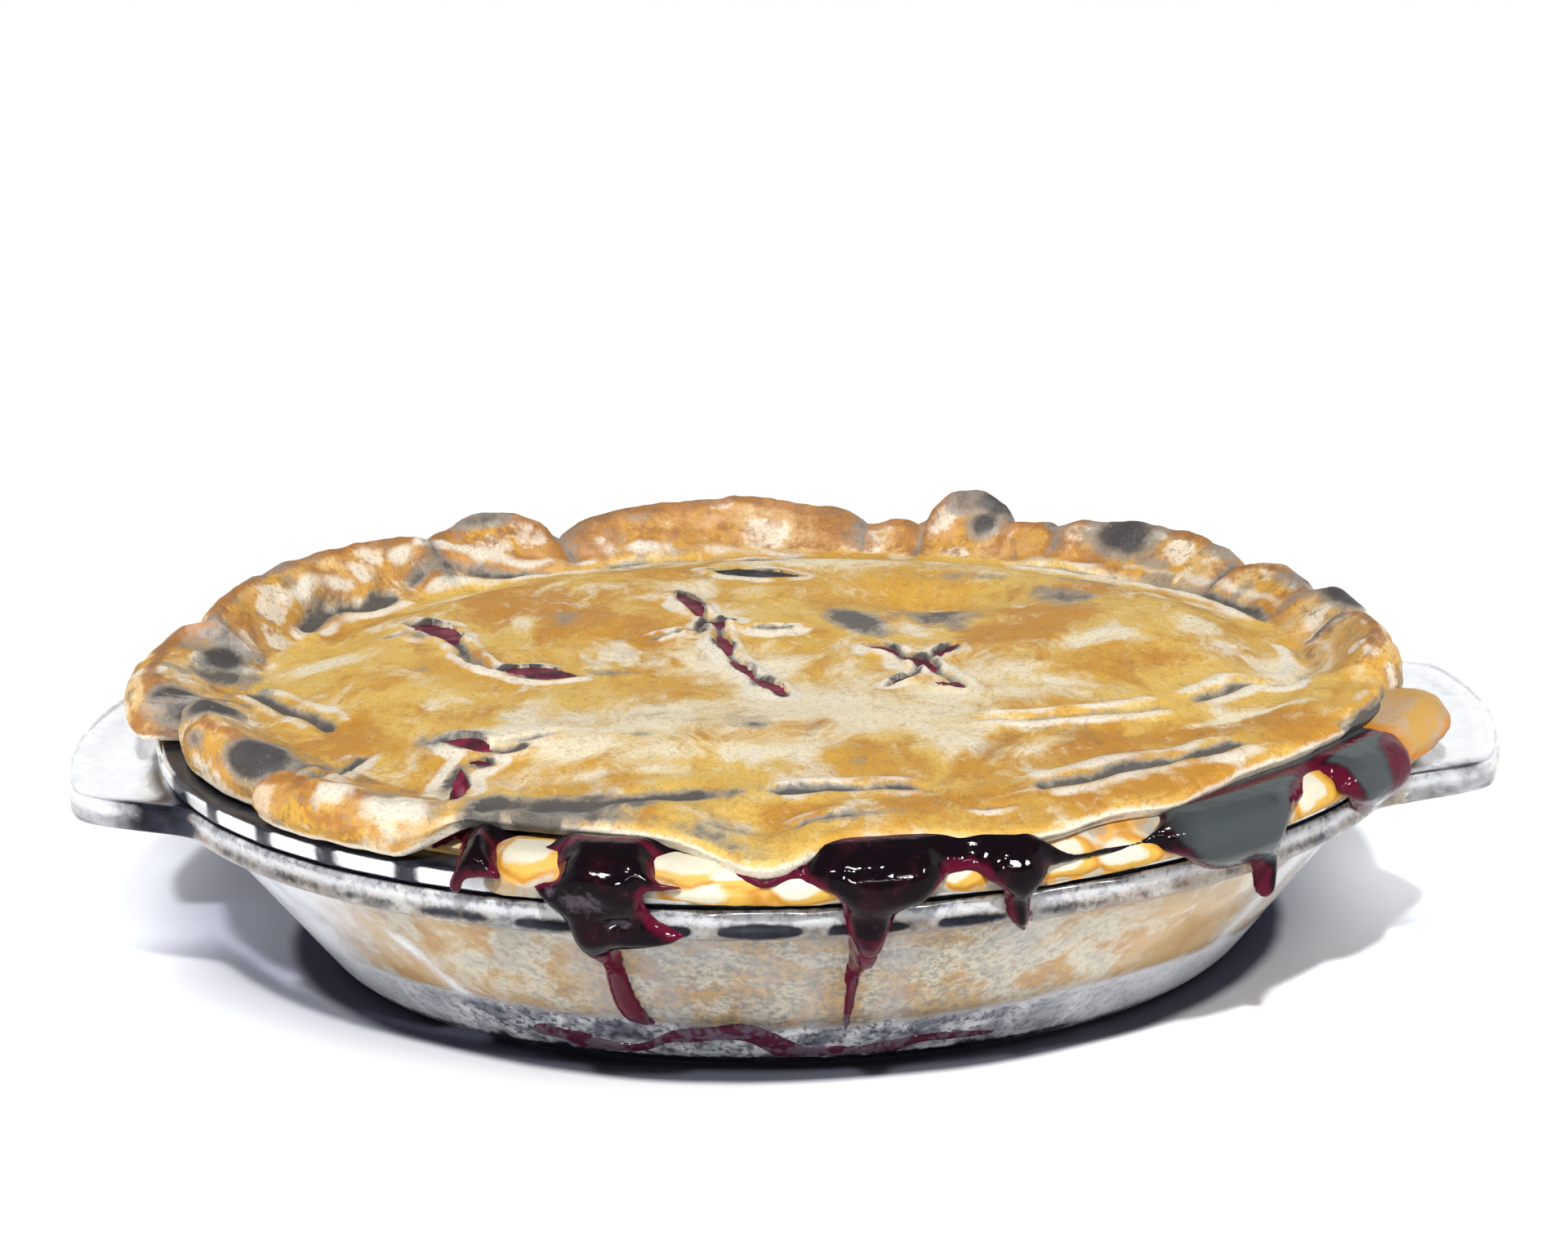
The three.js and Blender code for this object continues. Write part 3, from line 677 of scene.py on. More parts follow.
lid = {
    "steps": 540,
    "seam": 105.0,
    "height": 55.6,
    "seamHeight": 51.0,
    "burstSeam": 54.0,  # along the burst, where the edge isn't rolled up
    "burst": (236, 343),  # angles where it starts and ends
    "thick": 4.2,
    "lapReach": 129.0,  # of the underside, along the burst
    "rollReach": 117.6,  # and where the edge is rolled up
    "lapHeight": 48.2,
    "pinchInset": 3.4,
    "slitPoints": 44,
    "slitBottom": 40,
    "lumps": [(17, 3.1, 0.42), (7, 8.4, 0.34), (2.8, 5.7, 0.17)],  # size, seed, height
    "edgeLumps": [(12, 1.3, 1.0), (6, 6.6, 0.75), (2.6, 2.2, 0.3)],
    "swellings": [  # x, y, half length, half width, turned, height
        (70, 3, 34, 48, -20, 4.0), (-50, 34, 32, 34, 20, 1.6), (-24, -62, 46, 13, 5, 1.4),
        (-64, -14, 22, 20, 0, 0.8), (30, 44, 17, 11, -25, -3.6), (0, -20, 34, 24, 0, -1.2)],
    "ruffles": [  # angle where it starts, height of that pinch, height of its crest, reach
        (-17, 57.2, 60, 124), (6, 58.4, 59.4, 123.5), (17, 57.6, 58.6, 122.5), (32, 56.4, 60.6, 124),
        (57, 57.8, 58.6, 122), (63.5, 58, 63, 125.5), (73.5, 55.6, 57.4, 121.5), (80, 57, 62.2, 125),
        (115, 54.6, 63.4, 126), (131, 60.4, 63.4, 125), (172, 60, 57, 131.5), (190, 53.5, 56.6, 123),
        (218, 52.4, 55, 127.5), (241, 52.4, 55, 127.5)],
    "burstFoot": 50.2,
    "burstReach": 120.6,
    "waves": [  # angle, half width, drop, reach added
        (-112, 9, 0, -3), (-91.8, 5.4, 3.6, 8.6), (-70.5, 9, 1.8, 6), (-55.5, 5, 1, 3.4),
        (-22, 8, 0, 2)],
    "slits": [  # x, y, x, y, width
        (-76.5, 27, -65.3, 9.3, 8.2), (-57, -15.3, -40, -18, 9), (-21.5, 49, -16, 29, 4.4),
        (-16.8, 17.2, -9.8, 24, 5.2), (-20, 15, -14.6, 12.4, 2.4), (-12.8, 12.4, -10, -2, 3.2),
        (-10, -6.2, -6, -17, 3.4), (-5, -18.5, 0.4, -34.5, 4.6), (-8.2, 16.8, 2, 14.2, 2.8),
        (17.2, 1.4, 22.8, -6.4, 3.6), (23.2, -8.8, 30.4, -21, 3.8), (30.8, -12.6, 35.4, -4.4, 3.4),
        (21.6, -29.4, 26.6, -23.6, 3.4), (29.6, -30.4, 35, -36.8, 3.6), (-62.8, -60, -54.6, -67.8, 4.4),
        (-59.8, -73, -61.2, -92, 3.4), (-58.6, -71.2, -54, -74.2, 2.2), (-15, 71, 4, 65, 7.6)],
    # the lips' heights also set their painted highlight, the depth the painted shade in the groove
    "grooves": [  # path, half width, depth, height of the pale lip on its left side, and on its right side
        ([(34.7, -59.4), (49.7, -59.8), (61, -57.6), (75, -51)], 1.5, 0.7, 0.8, 0.8),
        ([(76, -50), (85.8, -38.2), (90.2, -32.5), (95.9, -32.6), (99.9, -26)], 1.5, 0.85, 0.8, 0.8),
        ([(100, -25), (104.5, -12), (105.4, -2), (104, 12)], 1.6, 0.55, 0.9, 0.5),
        ([(43.7, -98.6), (53.4, -94.9), (63.5, -87), (75.9, -81.6), (85.4, -71.7)], 2.2, 1.7, 0.7, 0.6),
        ([(24.5, -98.2), (30.1, -104), (34.5, -110), (41.8, -105)], 1.2, 0.5, 0.4, 0.4),
        ([(-101, 38), (-95, 55), (-88, 62), (-82, 71)], 1.8, 1.6, 0.6, 0.8),
        ([(-82, 71), (-74, 84), (-62, 88), (-50, 92), (-36, 97)], 1.6, 0.9, 0.8, 0.8),
        ([(-40, 95.4), (-31, 98), (-22, 99.6), (-12, 99.8), (-2, 98.8), (8, 96)], 2.4, 1.2, 0.5, 0.6),
        ([(-107, -7), (-101, -15), (-96, -24), (-90, -33), (-86, -42)], 1.5, 1.4, 0.7, 0.5),
        ([(-78, -57), (-81, -64), (-84, -74), (-86, -84)], 1.4, 1.3, 0.6, 0.5),
        ([(-57, -103), (-52, -101), (-42.7, -103.5), (-33.7, -105), (-26.7, -101.2), (-19.5, -98.8),
          (-11.4, -98.2)], 3.4, 1.3, 0.35, 0.2),
        ([(-64, -0.5), (-61, -9), (-56, -14.5)], 1.2, 1.0, 0.4, 0.4),
        ([(-3, -99), (6, -98), (16, -97.6), (26, -98.4)], 1.7, 1.1, 0.6, 0.4),
        ([(1.2, -116), (5.6, -113), (13, -114)], 1.2, 0.8, 0.5, 0.3),
        ([(48, 92), (62, 82), (73, 75), (82, 66), (90, 56), (97, 42), (103, 26)], 1.5, 1.0, 0.5, 0.7),
        ([(103.8, -60.8), (108.4, -54.3), (114.2, -43.4), (118.5, -30)], 1.4, 1.1, 0.5, 0.4),
        ([(-54, -66), (-48, -66), (-40, -62)], 1.0, 0.6, 0.3, 0.3),
        ([(-80, 36), (-77, 29), (-66, 9), (-62.5, -3), (-57, -14.5), (-50, -15)], 1.3, 1.1, 0.7, 0.7),
        ([(-23, 52), (-17, 30), (-13, 20), (-11.5, 5), (-8, -11), (-3, -24), (2, -37)], 1.1, 0.9, 0.8, 0.8),
        ([(-28, 8), (-20, 14), (-12, 18), (-2, 16), (8, 18)], 1.0, 0.9, 0.6, 0.8),
        ([(15, 4), (22, -5), (27, -15), (32, -27), (36, -38)], 1.1, 1.0, 0.8, 0.8),
        ([(37, -2), (31, -12), (27, -19), (24, -27), (19, -32)], 1.0, 0.8, 0.6, 0.6),
        ([(-66, -57), (-60, -63), (-53, -69), (-46, -68)], 1.2, 0.9, 0.6, 0.4)],
    # painted shade: dark strokes along the rolled edge below its crest
    "hatchedShade": [  # angle, half width, how far below the crest, half height, amount
        (-108, 9, 0.6, 1.3, 0.8), (-96, 6, 0.6, 1.0, 0.7), (-66, 9, 3.6, 0.7, 0.7),
        (-84, 7, 2.6, 0.7, 0.5)],
    "burns": [  # angle, radius, height, half angle, half radial, half height, amount
        (190, 121, 52.6, 2.6, 5, 4, 1.35), (195.9, 114.3, 54.8, 2.8, 5, 4, 1.35),
        (174.4, 114.3, 53.7, 3.4, 5, 3, 1.0), (214, 118.5, 54, 3.6, 6, 4, 1.3),
        (221, 119, 51, 3.4, 5, 3, 0.6), (204, 122, 53.5, 2.0, 4, 2, 0.5),
        (65, 120, 61, 3.2, 7, 3.5, 1.0), (69, 121, 59, 2.5, 6, 5, 0.95),
        (48.5, 118, 57, 4.4, 9, 4.5, 1.15), (57.5, 119, 58.5, 1.8, 6, 1.8, 0.8),
        (43, 114, 53.5, 3, 5, 1.8, 0.7), (12, 119.5, 58.5, 5.5, 5, 2.4, 1.1),
        (22, 118, 56.5, 4, 5, 1.8, 0.6), (35, 118, 58, 3.5, 5, 2, 0.4), (100, 121, 62, 9, 4, 1.4, 0.35),
        (66, 113, 58, 1.8, 5, 4, 0.9), (124, 117, 62.5, 5, 5, 2, 0.6), (5, 121, 57, 3, 4, 2, 0.45),
        (152, 121, 62, 9, 4, 1.6, 0.4)],
}


def lidTop(x, y):
    spread = np.hypot(x, y) / lid["seam"]
    around = np.degrees(np.arctan2(y, x)) % 360
    rolled = 1 - smooth((around - 240) / 14) + smooth((around - 340) / 16)
    z = mix(lid["height"], mix(lid["burstSeam"], lid["seamHeight"], rolled), smooth((spread - 0.72) / 0.28))
    for cx, cy, long, wide, turned, high in lid["swellings"]:
        z = z + high * blot(x, y, cx, cy, long, wide, turned) * (1 - smooth((spread - 0.8) / 0.2))
    return z


def shutAt(angle):
    # 1 where the lid's edge is rolled up, 0 along the burst
    a = angle % 360
    start, end = lid["burst"]
    return 1 - smooth((a - start) / 6) + smooth((a - end) / 6)


def edgeAt(angle):
    # the lid's edge: crest height, reach, foot height, how far it is rolled shut, and swell between pinches
    shut = shutAt(angle)
    table = np.array(lid["ruffles"], float)
    starts = table[:, 0]
    a = starts[0] + (angle - starts[0]) % 360
    i = np.clip(np.searchsorted(starts, a, side="right") - 1, 0, len(starts) - 2)
    t = np.minimum(1, (a - starts[i]) / (starts[i + 1] - starts[i]))
    swell = np.sqrt(np.maximum(np.sin(np.pi * t), 0))
    reach = table[i, 3]
    crest = mix(mix(table[i, 1], table[i + 1, 1], t), table[i, 2], swell)
    foot = 45 + 1.6 * smooth((reach - 128) / 6) * swell
    reach = reach - lid["pinchInset"] * (1 - swell)
    tornFoot, tornReach = lid["burstFoot"], lid["burstReach"]
    for at, wide, drop, out in lid["waves"]:
        tornFoot = tornFoot - drop * hump(angle, at, wide)
        tornReach = tornReach + out * hump(angle, at, wide)
    crest = mix(tornFoot + 4.6, crest, shut)
    return crest, mix(tornReach, reach, shut), mix(tornFoot, foot, shut), shut, swell


def nearSlits(x, y):
    # distance to the nearest slit's middle line, less its half width there
    best = np.full(np.shape(x), 99.0)
    for x0, y0, x1, y1, width in lid["slits"]:
        d, _, share = pathDistance(x, y, np.array([(x0, y0), (x1, y1)], float))
        best = np.minimum(best, d - width * 2 * share * (1 - share))
    return best


def lidRelief(x, y, z, onTop, onEdge):
    # how far the baked surface stands out from the plain form
    out = lumpy(x, y, z, lid["lumps"]) + onEdge * lumpy(x, y, z, lid["edgeLumps"])
    ragged = 1 + 0.35 * lumps(x, y, z, 6, 4.9)
    for path, wide, deep, left, right in lid["grooves"]:
        d, side, share = pathDistance(x, y, softPath(path))
        fade = smooth(share / 0.12) * smooth((1 - share) / 0.12)
        out = out - onTop * fade * deep * bell(d, 0, wide * ragged)
        out = out + onTop * fade * bell(d, 2.1 * wide, 1.1 * wide) * np.where(side > 0, left, right)
    return out + onTop * 0.45 * bell(nearSlits(x, y), 1.3, 1.5)


def makeSlitBlade(x0, y0, x1, y1, width):
    # a blade with the outline of one slit, pointed at both ends and a little ragged
    length = math.hypot(x1 - x0, y1 - y0)
    half = lid["slitPoints"] // 2
    deselectAll()
    bpy.ops.mesh.primitive_circle_add(vertices=2 * half, radius=0.01, fill_type="NGON")
    blade = bpy.context.object
    points = []
    for i in range(2 * half):
        t = i / half if i <= half else (2 * half - i) / half
        bulge = 2 * t * (1 - t) * width * (1 if i <= half else -1)
        coarse = noise.noise((t * 5 + x0, y0, i // half))
        fine = noise.noise((t * 13 + x0, y0, i // half + 5))
        bulge *= 1 + 0.5 * coarse + 0.35 * fine
        bend = 0.06 * length * math.sin(math.pi * t) * (1 if x0 < -50 else 0.3)
        u, v = t * length, bulge + bend
        c, s = (x1 - x0) / length, (y1 - y0) / length
        points.append((x0 + u * c - v * s, y0 + u * s + v * c, lid["slitBottom"]))
    setPlaces(blade, points)
    bpy.ops.object.mode_set(mode="EDIT")
    bpy.ops.mesh.select_all(action="SELECT")
    bpy.ops.mesh.extrude_region_move(TRANSFORM_OT_translate={"value": (0, 0, 0.03)})
    faceOutward()
    return blade


def cutSlits(piece):
    blades = [makeSlitBlade(*slit) for slit in lid["slits"]]
    for group in (blades[0::2], blades[1::2]):  # neighbours that touch go in different cuts
        deselectAll()
        for blade in group:
            blade.select_set(True)
        bpy.context.view_layer.objects.active = group[0]
        bpy.ops.object.join()
        applyModifier(piece, "BOOLEAN", operation="DIFFERENCE", object=group[0], solver="MANIFOLD")
        bpy.data.objects.remove(group[0])


def makeLid():
    angle = np.arange(lid["steps"]) * 360 / lid["steps"]
    crest, reach, foot, shut, _ = edgeAt(angle)
    crestRadius = reach - mix(7.0, 5.5, shut)
    seam, lapHeight = lid["seam"], lid["lapHeight"]
    under = np.maximum(foot, lapHeight)
    over = mix(lid["lapReach"], lid["rollReach"], shut)
    cos, sin = np.cos(np.radians(angle)), np.sin(np.radians(angle))
    seamTop = lidTop(seam * cos, seam * sin)
    inner = 0.965 * seam
    corners = [
        (seam, np.maximum(lapHeight, under - 0.6)), (np.minimum(over, reach - 2.8), under),
        (np.minimum(over + 0.9, reach - 1.9), foot), (reach - 1.6, foot), (reach, mix(foot, crest, 0.4)),
        (reach - 1.4, mix(foot, crest, 0.78)), (crestRadius, crest),
        (mix(seam, crestRadius, 0.66), mix(seamTop, crest, mix(0.96, 0.66, shut))),
        (mix(seam, crestRadius, 0.32), mix(seamTop, crest, mix(0.75, 0.2, shut))), (seam, seamTop),
        (inner, lidTop(inner * cos, inner * sin)),
    ]
    counts = [8, 2, 3, 9, 7, 7, 8, 7, 6, 3]
    edgeR, edgeZ = sectionLine(corners, counts, 3)
    cos, sin = cos[:, None], sin[:, None]
    innerR = np.linspace(0, seam - 4, 14) + 0 * cos
    topR = np.linspace(inner - 1.2, 0, 84) + 0 * cos
    innerZ = lidTop(innerR * cos, innerR * sin) - lid["thick"]
    r = np.hstack([innerR, edgeR, topR])
    z = np.hstack([innerZ, edgeZ, lidTop(topR * cos, topR * sin)])
    x, y = r * cos, r * sin
    station = np.arange(r.shape[1]) - innerR.shape[1]  # counted from where the edge begins
    onTop = smooth((station - 20) / 8.0)
    onEdge = smooth((station - 12) / 8.0) * smooth((62 - station) / 14.0) * mix(0.45, 1.0, shut[:, None])
    out = lidRelief(x, y, z, onTop, onEdge) * smooth((station - 8) / 8.0)
    out[:, -1] = out[:, -1].mean()
    out[:, -2] = mix(out[:, -2], out[:, -1], 0.5)
    piece = spunShell("bakedLid", r, *pushOut(x, y, z, out))
    print("lid shell:", len(piece.data.polygons), "faces")
    cutSlits(piece)
    return piece


lidTints = {  # x, y, half length, half width, turned, amount
    # painted highlights on the front of the rolled edge
    "pale": [
        (-70, -100, 8, 4.5, -30, 1.2), (-81, -92, 5, 4, -40, 1.0), (-106, -43, 4, 5, 0, 0.9),
        (-60, -106, 4, 4, 0, 0.8)],
    "cream": [
        (6, -48, 46, 26, 5, 1.0), (-8, -8, 18, 24, 20, 0.8), (-12, 55, 30, 9, -8, 0.5),
        (10, 80, 44, 11, -6, 0.8), (-92, 6, 9, 6, 0, 1.0), (-76, -12, 12, 4, -60, 0.7),
        (88, -54.5, 18, 1.7, 33, 1.4), (-36, -72, 9, 7, 0, 1.0), (96, -30, 8, 5, 60, 0.7),
        (20, -74, 34, 8, 0, 0.6), (-12, -76, 30, 7, 0, 0.7), (-58, 72, 22, 7, 30, 0.6),
        (-80, -70, 8, 6, 0, 0.6), (40, -66, 24, 5, 10, 0.5), (-56, -62, 12, 6, 10, 0.8),
        (60, 88, 40, 7, -36, 0.5), (99, -15, 7, 15, 0, 1.0), (84, 4, 13, 9, -30, 0.65),
        (62, -10, 15, 7, 0, 0.45), (88, 30, 8, 10, 0, 0.5), (-26, -84, 20, 4, -4, 0.8),
        (-92, -98, 14, 8, -50, 0.6)],
    "amber": [
        (-52, 38, 24, 26, 20, 1.25), (-84, 44, 12, 20, -20, 0.6), (48, 2, 14, 30, -20, 1.1),
        (70, 34, 24, 9, -30, 1.0), (86, -62, 22, 5, 36, 1.0), (56, -76, 34, 8, 20, 1.0),
        (-84, -46, 12, 20, 20, 0.8), (-30, -112, 34, 4, 0, 0.6), (66, -97, 26, 6, 34, 1.1),
        (96, -66, 12, 6, 50, 0.9), (14, -109, 24, 5.5, 0, 1.1), (34, -104, 22, 6, 12, 0.9),
        (-70, -84, 14, 9, -30, 1.0), (40, -14, 14, 26, -10, 0.9), (84, -20, 22, 9, 30, 0.6),
        (-30, 10, 12, 22, 30, 0.7), (-66, -44, 20, 8, -10, 0.6), (30, -52, 26, 7, 10, 0.6),
        (-20, -68, 12, 5, 0, 0.8), (-60, -6, 14, 6, -40, 0.5), (-30, 72, 20, 8, 0, 0.6)],
    # painted shade: grey smudges in hollows and on the shaded front of the rolled edge
    "grey": [
        (-112, 1.5, 8, 8, 0, 1.1), (-103, -10, 3, 5, 0, 0.8), (-98, -62, 8, 5, 20, 0.7),
        (-90, -76, 9, 5, -40, 0.55), (16, 20, 15, 6, -68, 1.15), (33, 25, 20, 8, -74, 1.0),
        (58, 33, 15, 7, -68, 0.95), (66, 50, 14, 5, -40, 0.7), (-62, -60, 10, 5, -20, 0.8),
        (-14, 88, 26, 6, -4, 0.75), (-76, 16, 10, 3, -40, 0.6), (-70, -14, 8, 3, -50, 0.55),
        (36, 62, 20, 4, -20, 0.6), (-44, 26, 5, 8, 0, 0.7), (-34, -14, 7, 3, 0, 0.6),
        (-22, -49, 12, 3, 8, 0.55), (-26, -66, 3.5, 2.2, 0, 0.7), (-5, -63, 3.5, 3.5, 0, 0.6),
        (13.5, -84, 3, 4, 0, 0.6), (-52, -50, 6, 3, 0, 0.4), (-53, -105, 6.5, 8, 0, 1.4),
        (-43, -107, 11, 6.5, -6, 1.4), (-31, -107, 10, 5, 10, 1.15), (-18, -100, 10, 3, 6, 1.0),
        (7, -98, 10, 2.4, 0, 1.3), (12, -114, 16, 3.5, 4, 0.7), (80, 44, 5, 16, 34, 0.35),
        (62, 20, 8, 6, 0, 0.5)],
}


def strongest(x, y, rows):
    # the strongest of some oval patches at each place
    total = np.zeros(len(x))
    for *patch, amount in rows:
        total = np.maximum(total, amount * blot(x, y, *patch))
    return total


def tintLid(piece):
    x, y, z, angle, radius = roundPlaces(piece)
    crest, reach, foot, shut, swell = edgeAt(angle)
    outer = smooth((radius - 103) / 6) * shut
    slit = np.maximum(nearSlits(x, y), 0)
    mark(piece, "outer", outer)
    mark(piece, "wet", bell(slit, 0, 0.4) * smooth((lidTop(x, y) - z - 0.5) / 0.8) * (radius < 104))

    # painted shade, dark in the grooves and slits and between the ruffles, and painted highlights, pale on
    # their lips
    broken = np.clip(0.6 + 1.2 * lumps(x, y, z, 7, 3.3), 0, 1.3)
    chalkAndHighlight, shade = np.zeros(len(x)), np.zeros(len(x))
    for path, wide, deep, left, right in lid["grooves"]:
        d, side, share = pathDistance(x, y, softPath(path))
        fade = smooth(share / 0.1) * smooth((1 - share) / 0.1)
        shade = np.maximum(shade, fade * min(deep, 1.3) * bell(d, 0, wide * 1.15))
        lips = bell(d, 2.4 * wide, 1.2 * wide) * np.where(side > 0, left, right)
        chalkAndHighlight = np.maximum(chalkAndHighlight, 1.3 * fade * lips)
    shade = np.maximum(shade * (0.8 + 0.5 * broken), 1.15 * bell(slit, 0.3, 1.0) * broken)
    shade = np.maximum(shade, 0.85 * bell(swell, 0, 0.42) * outer * (radius < reach - 1.5))
    for at, wide, fall, high, amount in lid["hatchedShade"]:
        stroke = hump(angle, at, wide) * bell(z, crest - fall, high) * smooth((radius - 100) / 6)
        shade = np.maximum(shade, amount * stroke)
    mark(piece, "shade", np.clip(shade, 0, 1.3))
    chalkAndHighlight = np.maximum(chalkAndHighlight * (0.55 + 0.6 * broken), 1.2 * bell(slit, 2.6, 1.7) * broken)
    chalkAndHighlight = np.maximum(chalkAndHighlight, strongest(x, y, lidTints["pale"]))
    # painted highlight: a pale band along the lid's lower edge
    lower = bell(z, foot + 0.6, mix(1.9, 1.1, shut)) * (radius > reach - 4.5)
    mark(piece, "chalkAndHighlight", np.clip(np.maximum(chalkAndHighlight, lower * mix(1.3, 0.95, shut)), 0, 1.3))

    # the painted shade is streaked along the front
    hatched = 1 + 0.7 * smooth((-90 - y) / 5) * lumps(x, 0 * y, 0 * z, 2.2, 4.4)
    for name in ("cream", "amber", "grey"):
        amount = strongest(x, y, lidTints[name]) * (hatched if name == "grey" else 1)
        mark(piece, name, np.clip(amount, 0, 1.4))

    # the browned crest of the rolled edge, and the scorched ruffles
    thin = mix(0.8, 3.6, hump(angle, 92, 36))
    outline = bell(z, crest - 0.4, thin) * smooth((radius - reach + 8.5) / 2) + (1 - swell) ** 1.5
    outline = outline + 0.6 * hump(angle, 98, 62)
    mark(piece, "outline", np.clip(0.9 * outer * shut * outline, 0, 1))
    scorch = np.zeros(len(x))
    for at, far, high, wideA, wideR, wideZ, amount in lid["burns"]:
        patch = hump(angle, at, wideA) * bell(radius, far, wideR) * bell(z, high, wideZ)
        scorch = np.maximum(scorch, amount * patch * 1.3)
    mark(piece, "scorch", np.clip(scorch, 0, 1))


pastry = {
    "gold": paint(213, 173, 78),
    "deep": paint(200, 150, 44),
    "amber": paint(182, 122, 4),
    "cream": paint(230, 217, 184),
    "chalkAndHighlight": paint(226, 216, 198),
    "rust": paint(156, 96, 20),
    "tan": paint(188, 138, 62),
    "brown": paint(122, 88, 50),
    "grey": paint(132, 128, 120),
    "slate": paint(60, 56, 54),
    "burnt": paint(44, 40, 42),
    "pink": paint(212, 182, 132),
    "syrup": paint(84, 22, 36),
}


def bakedShader(crust, colour, rough, relief):
    return crust.close(crust.add("BsdfPrincipled", None, {
        "Base Color": colour, "Roughness": rough, "Normal": relief, "Specular IOR Level": 0.3,
        "Coat Weight": 0.06, "Coat Roughness": 0.3}))


def lidFinish():
    crust = Finish("goldenPastry", pastry)
    spot = crust.add("TexCoord", out="Object")
    longer = crust.add("VectorMath", {"operation": "MULTIPLY"}, {0: spot, 1: (1, 0.6, 1)})
    patch = crust.grain(longer, 30, 3, 0.6, 0.8)
    cloud = crust.grain(longer, 9, 4, 0.62, 0.5)
    small = crust.grain(longer, 3.6, 4, 0.65, 0.3)
    speck = crust.grain(spot, 1.3, 5, 0.7)
    blotch = crust.grain(longer, 5.5, 5, 0.68, 0.8)
    swirl = crust.grain(crust.warped(longer, 30, 12), perMetre / 68, 6, 0.65, 0.5)
    ragged = (cloud - 0.5) * 0.8 + (small - 0.5) * 0.7 + (speck - 0.5) * 0.35
    freckled = crust.ramp(cloud, 0.46, 0.6) * 0.5
    top = crust.coats("gold", [
        (patch, 0.42, 0.58, 1, "deep"),
        (crust.attribute("amber") * 0.85 + (swirl - 0.5) * 3.6 + ragged * 0.7, 0.12, 0.95, 0.9, "amber"),
        (crust.attribute("cream") + (0.5 - swirl) * 3.2 + ragged * 0.6, 0.1, 0.92, 0.96, "cream"),
        (blotch, 0.54, 0.7, 0.4, "amber"),
        (blotch, 0.45, 0.29, 0.45, "cream"),
        (crust.grain(spot, 2.2, 3, 0.6), 0.58, 0.68, freckled, "rust"),
        ((cloud - 0.5) * 0.6 + (0.5 - swirl), 0.05, 0.24, 0.66, "chalkAndHighlight"),
        ((patch - 0.5) * 1.2 + (cloud - 0.5), 0.16, 0.3, 0.35, "brown")])

    # the rolled edge: pale rounded patches with rusty gaps between them
    torn = crust.warped(spot, 9, 5)
    far = crust.cells(torn, 9) + (small - 0.5) * 0.7
    kind = crust.cells(torn, 9, "Color")
    outline = crust.attribute("outline")
    grit = (speck - 0.5) * 0.5
    rim = crust.coats("tan", [
        (cloud, 0.44, 0.56, 1, "deep"),
        (patch, 0.48, 0.62, 0.8, "pink"),
        (far, 0.66, 0.84, 0.7, "rust"),
        (far, 0.56, 0.34, crust.ramp(kind, 0.44, 0.5) * 0.8, "chalkAndHighlight"),
        (far, 0.5, 0.34, crust.ramp(kind, 0.38, 0.3) * 0.7, "grey"),
        (cloud + grit, 0.57, 0.66, 0.65, "brown"),
        (small + grit, 0.56, 0.68, 0.4, "grey"),
        (outline + ragged * 1.3, 0.3, 0.85, 0.85, "rust"),
        (outline + ragged * 1.6, 0.8, 1.2, 0.7, "brown")])

    colour = crust.blend(crust.ramp(crust.attribute("outer") + ragged * 0.5, 0.25, 0.75), top, rim)
    grey = crust.attribute("grey") * 1.25
    shade = crust.attribute("shade")
    burn = crust.attribute("scorch") + ragged * 0.6
    # painted highlights on the lips, painted shade in grooves, creases and hollows, then the scorched
    # patches
    colour = crust.coats(colour, [
        (crust.attribute("chalkAndHighlight") + ragged * 1.1, 0.3, 0.85, 0.92, "chalkAndHighlight"),
        (grey + ragged * 1.5, 0.4, 0.95, 0.8, "grey"),
        (grey + ragged * 1.9, 0.85, 1.3, 0.85, "slate"),
        (shade + ragged * 0.9, 0.25, 0.8, 0.85, "grey"),
        (shade + ragged * 1.4, 0.62, 1.05, 0.92, "slate"),
        (burn, 0.18, 0.42, 0.75, "grey"),
        (burn, 0.4, 0.9, 0.96, "burnt")])
    colour = crust.blend(crust.attribute("wet"), colour, "syrup")
    colour = crust.coats(colour, [
        (speck + (small - 0.5) * 0.6, 0.54, 0.7, 0.26, "brown"),
        (speck + (small - 0.5) * 0.5, 0.38, 0.26, 0.16, "chalkAndHighlight"),
        (crust.grain(spot, 0.7, 2, 0.6), 0.54, 0.68, 0.28, "slate")])
    rough = crust.ramp(cloud, 0.3, 0.7) * 0.16 + 0.56
    relief = crust.bump(speck, 0.32, crust.bump(small, 0.5, crust.bump(cloud, 0.8)))
    return bakedShader(crust, colour, rough, relief)


liningTints = {
    **pastry,
    "flour": paint(228, 214, 184),
    "straw": paint(218, 170, 82),
    "dusty": paint(186, 176, 156),
    "baked": paint(206, 152, 64),
    "foldEdge": paint(186, 126, 8),
    "foldGold": paint(208, 163, 60),
    "foldHighlight": paint(210, 202, 180),
    "lobeGold": paint(180, 138, 64),
    "lobePink": paint(172, 142, 108),
    "lobeBrown": paint(150, 104, 70),
    "lobeEdge": paint(186, 116, 14),
    "behindPale": paint(212, 203, 180),
    "behindTan": paint(198, 164, 106),
    "behindAmber": paint(184, 136, 66),
    "behindGrey": paint(164, 160, 150),
    "behindSpeck": paint(126, 121, 112),
}


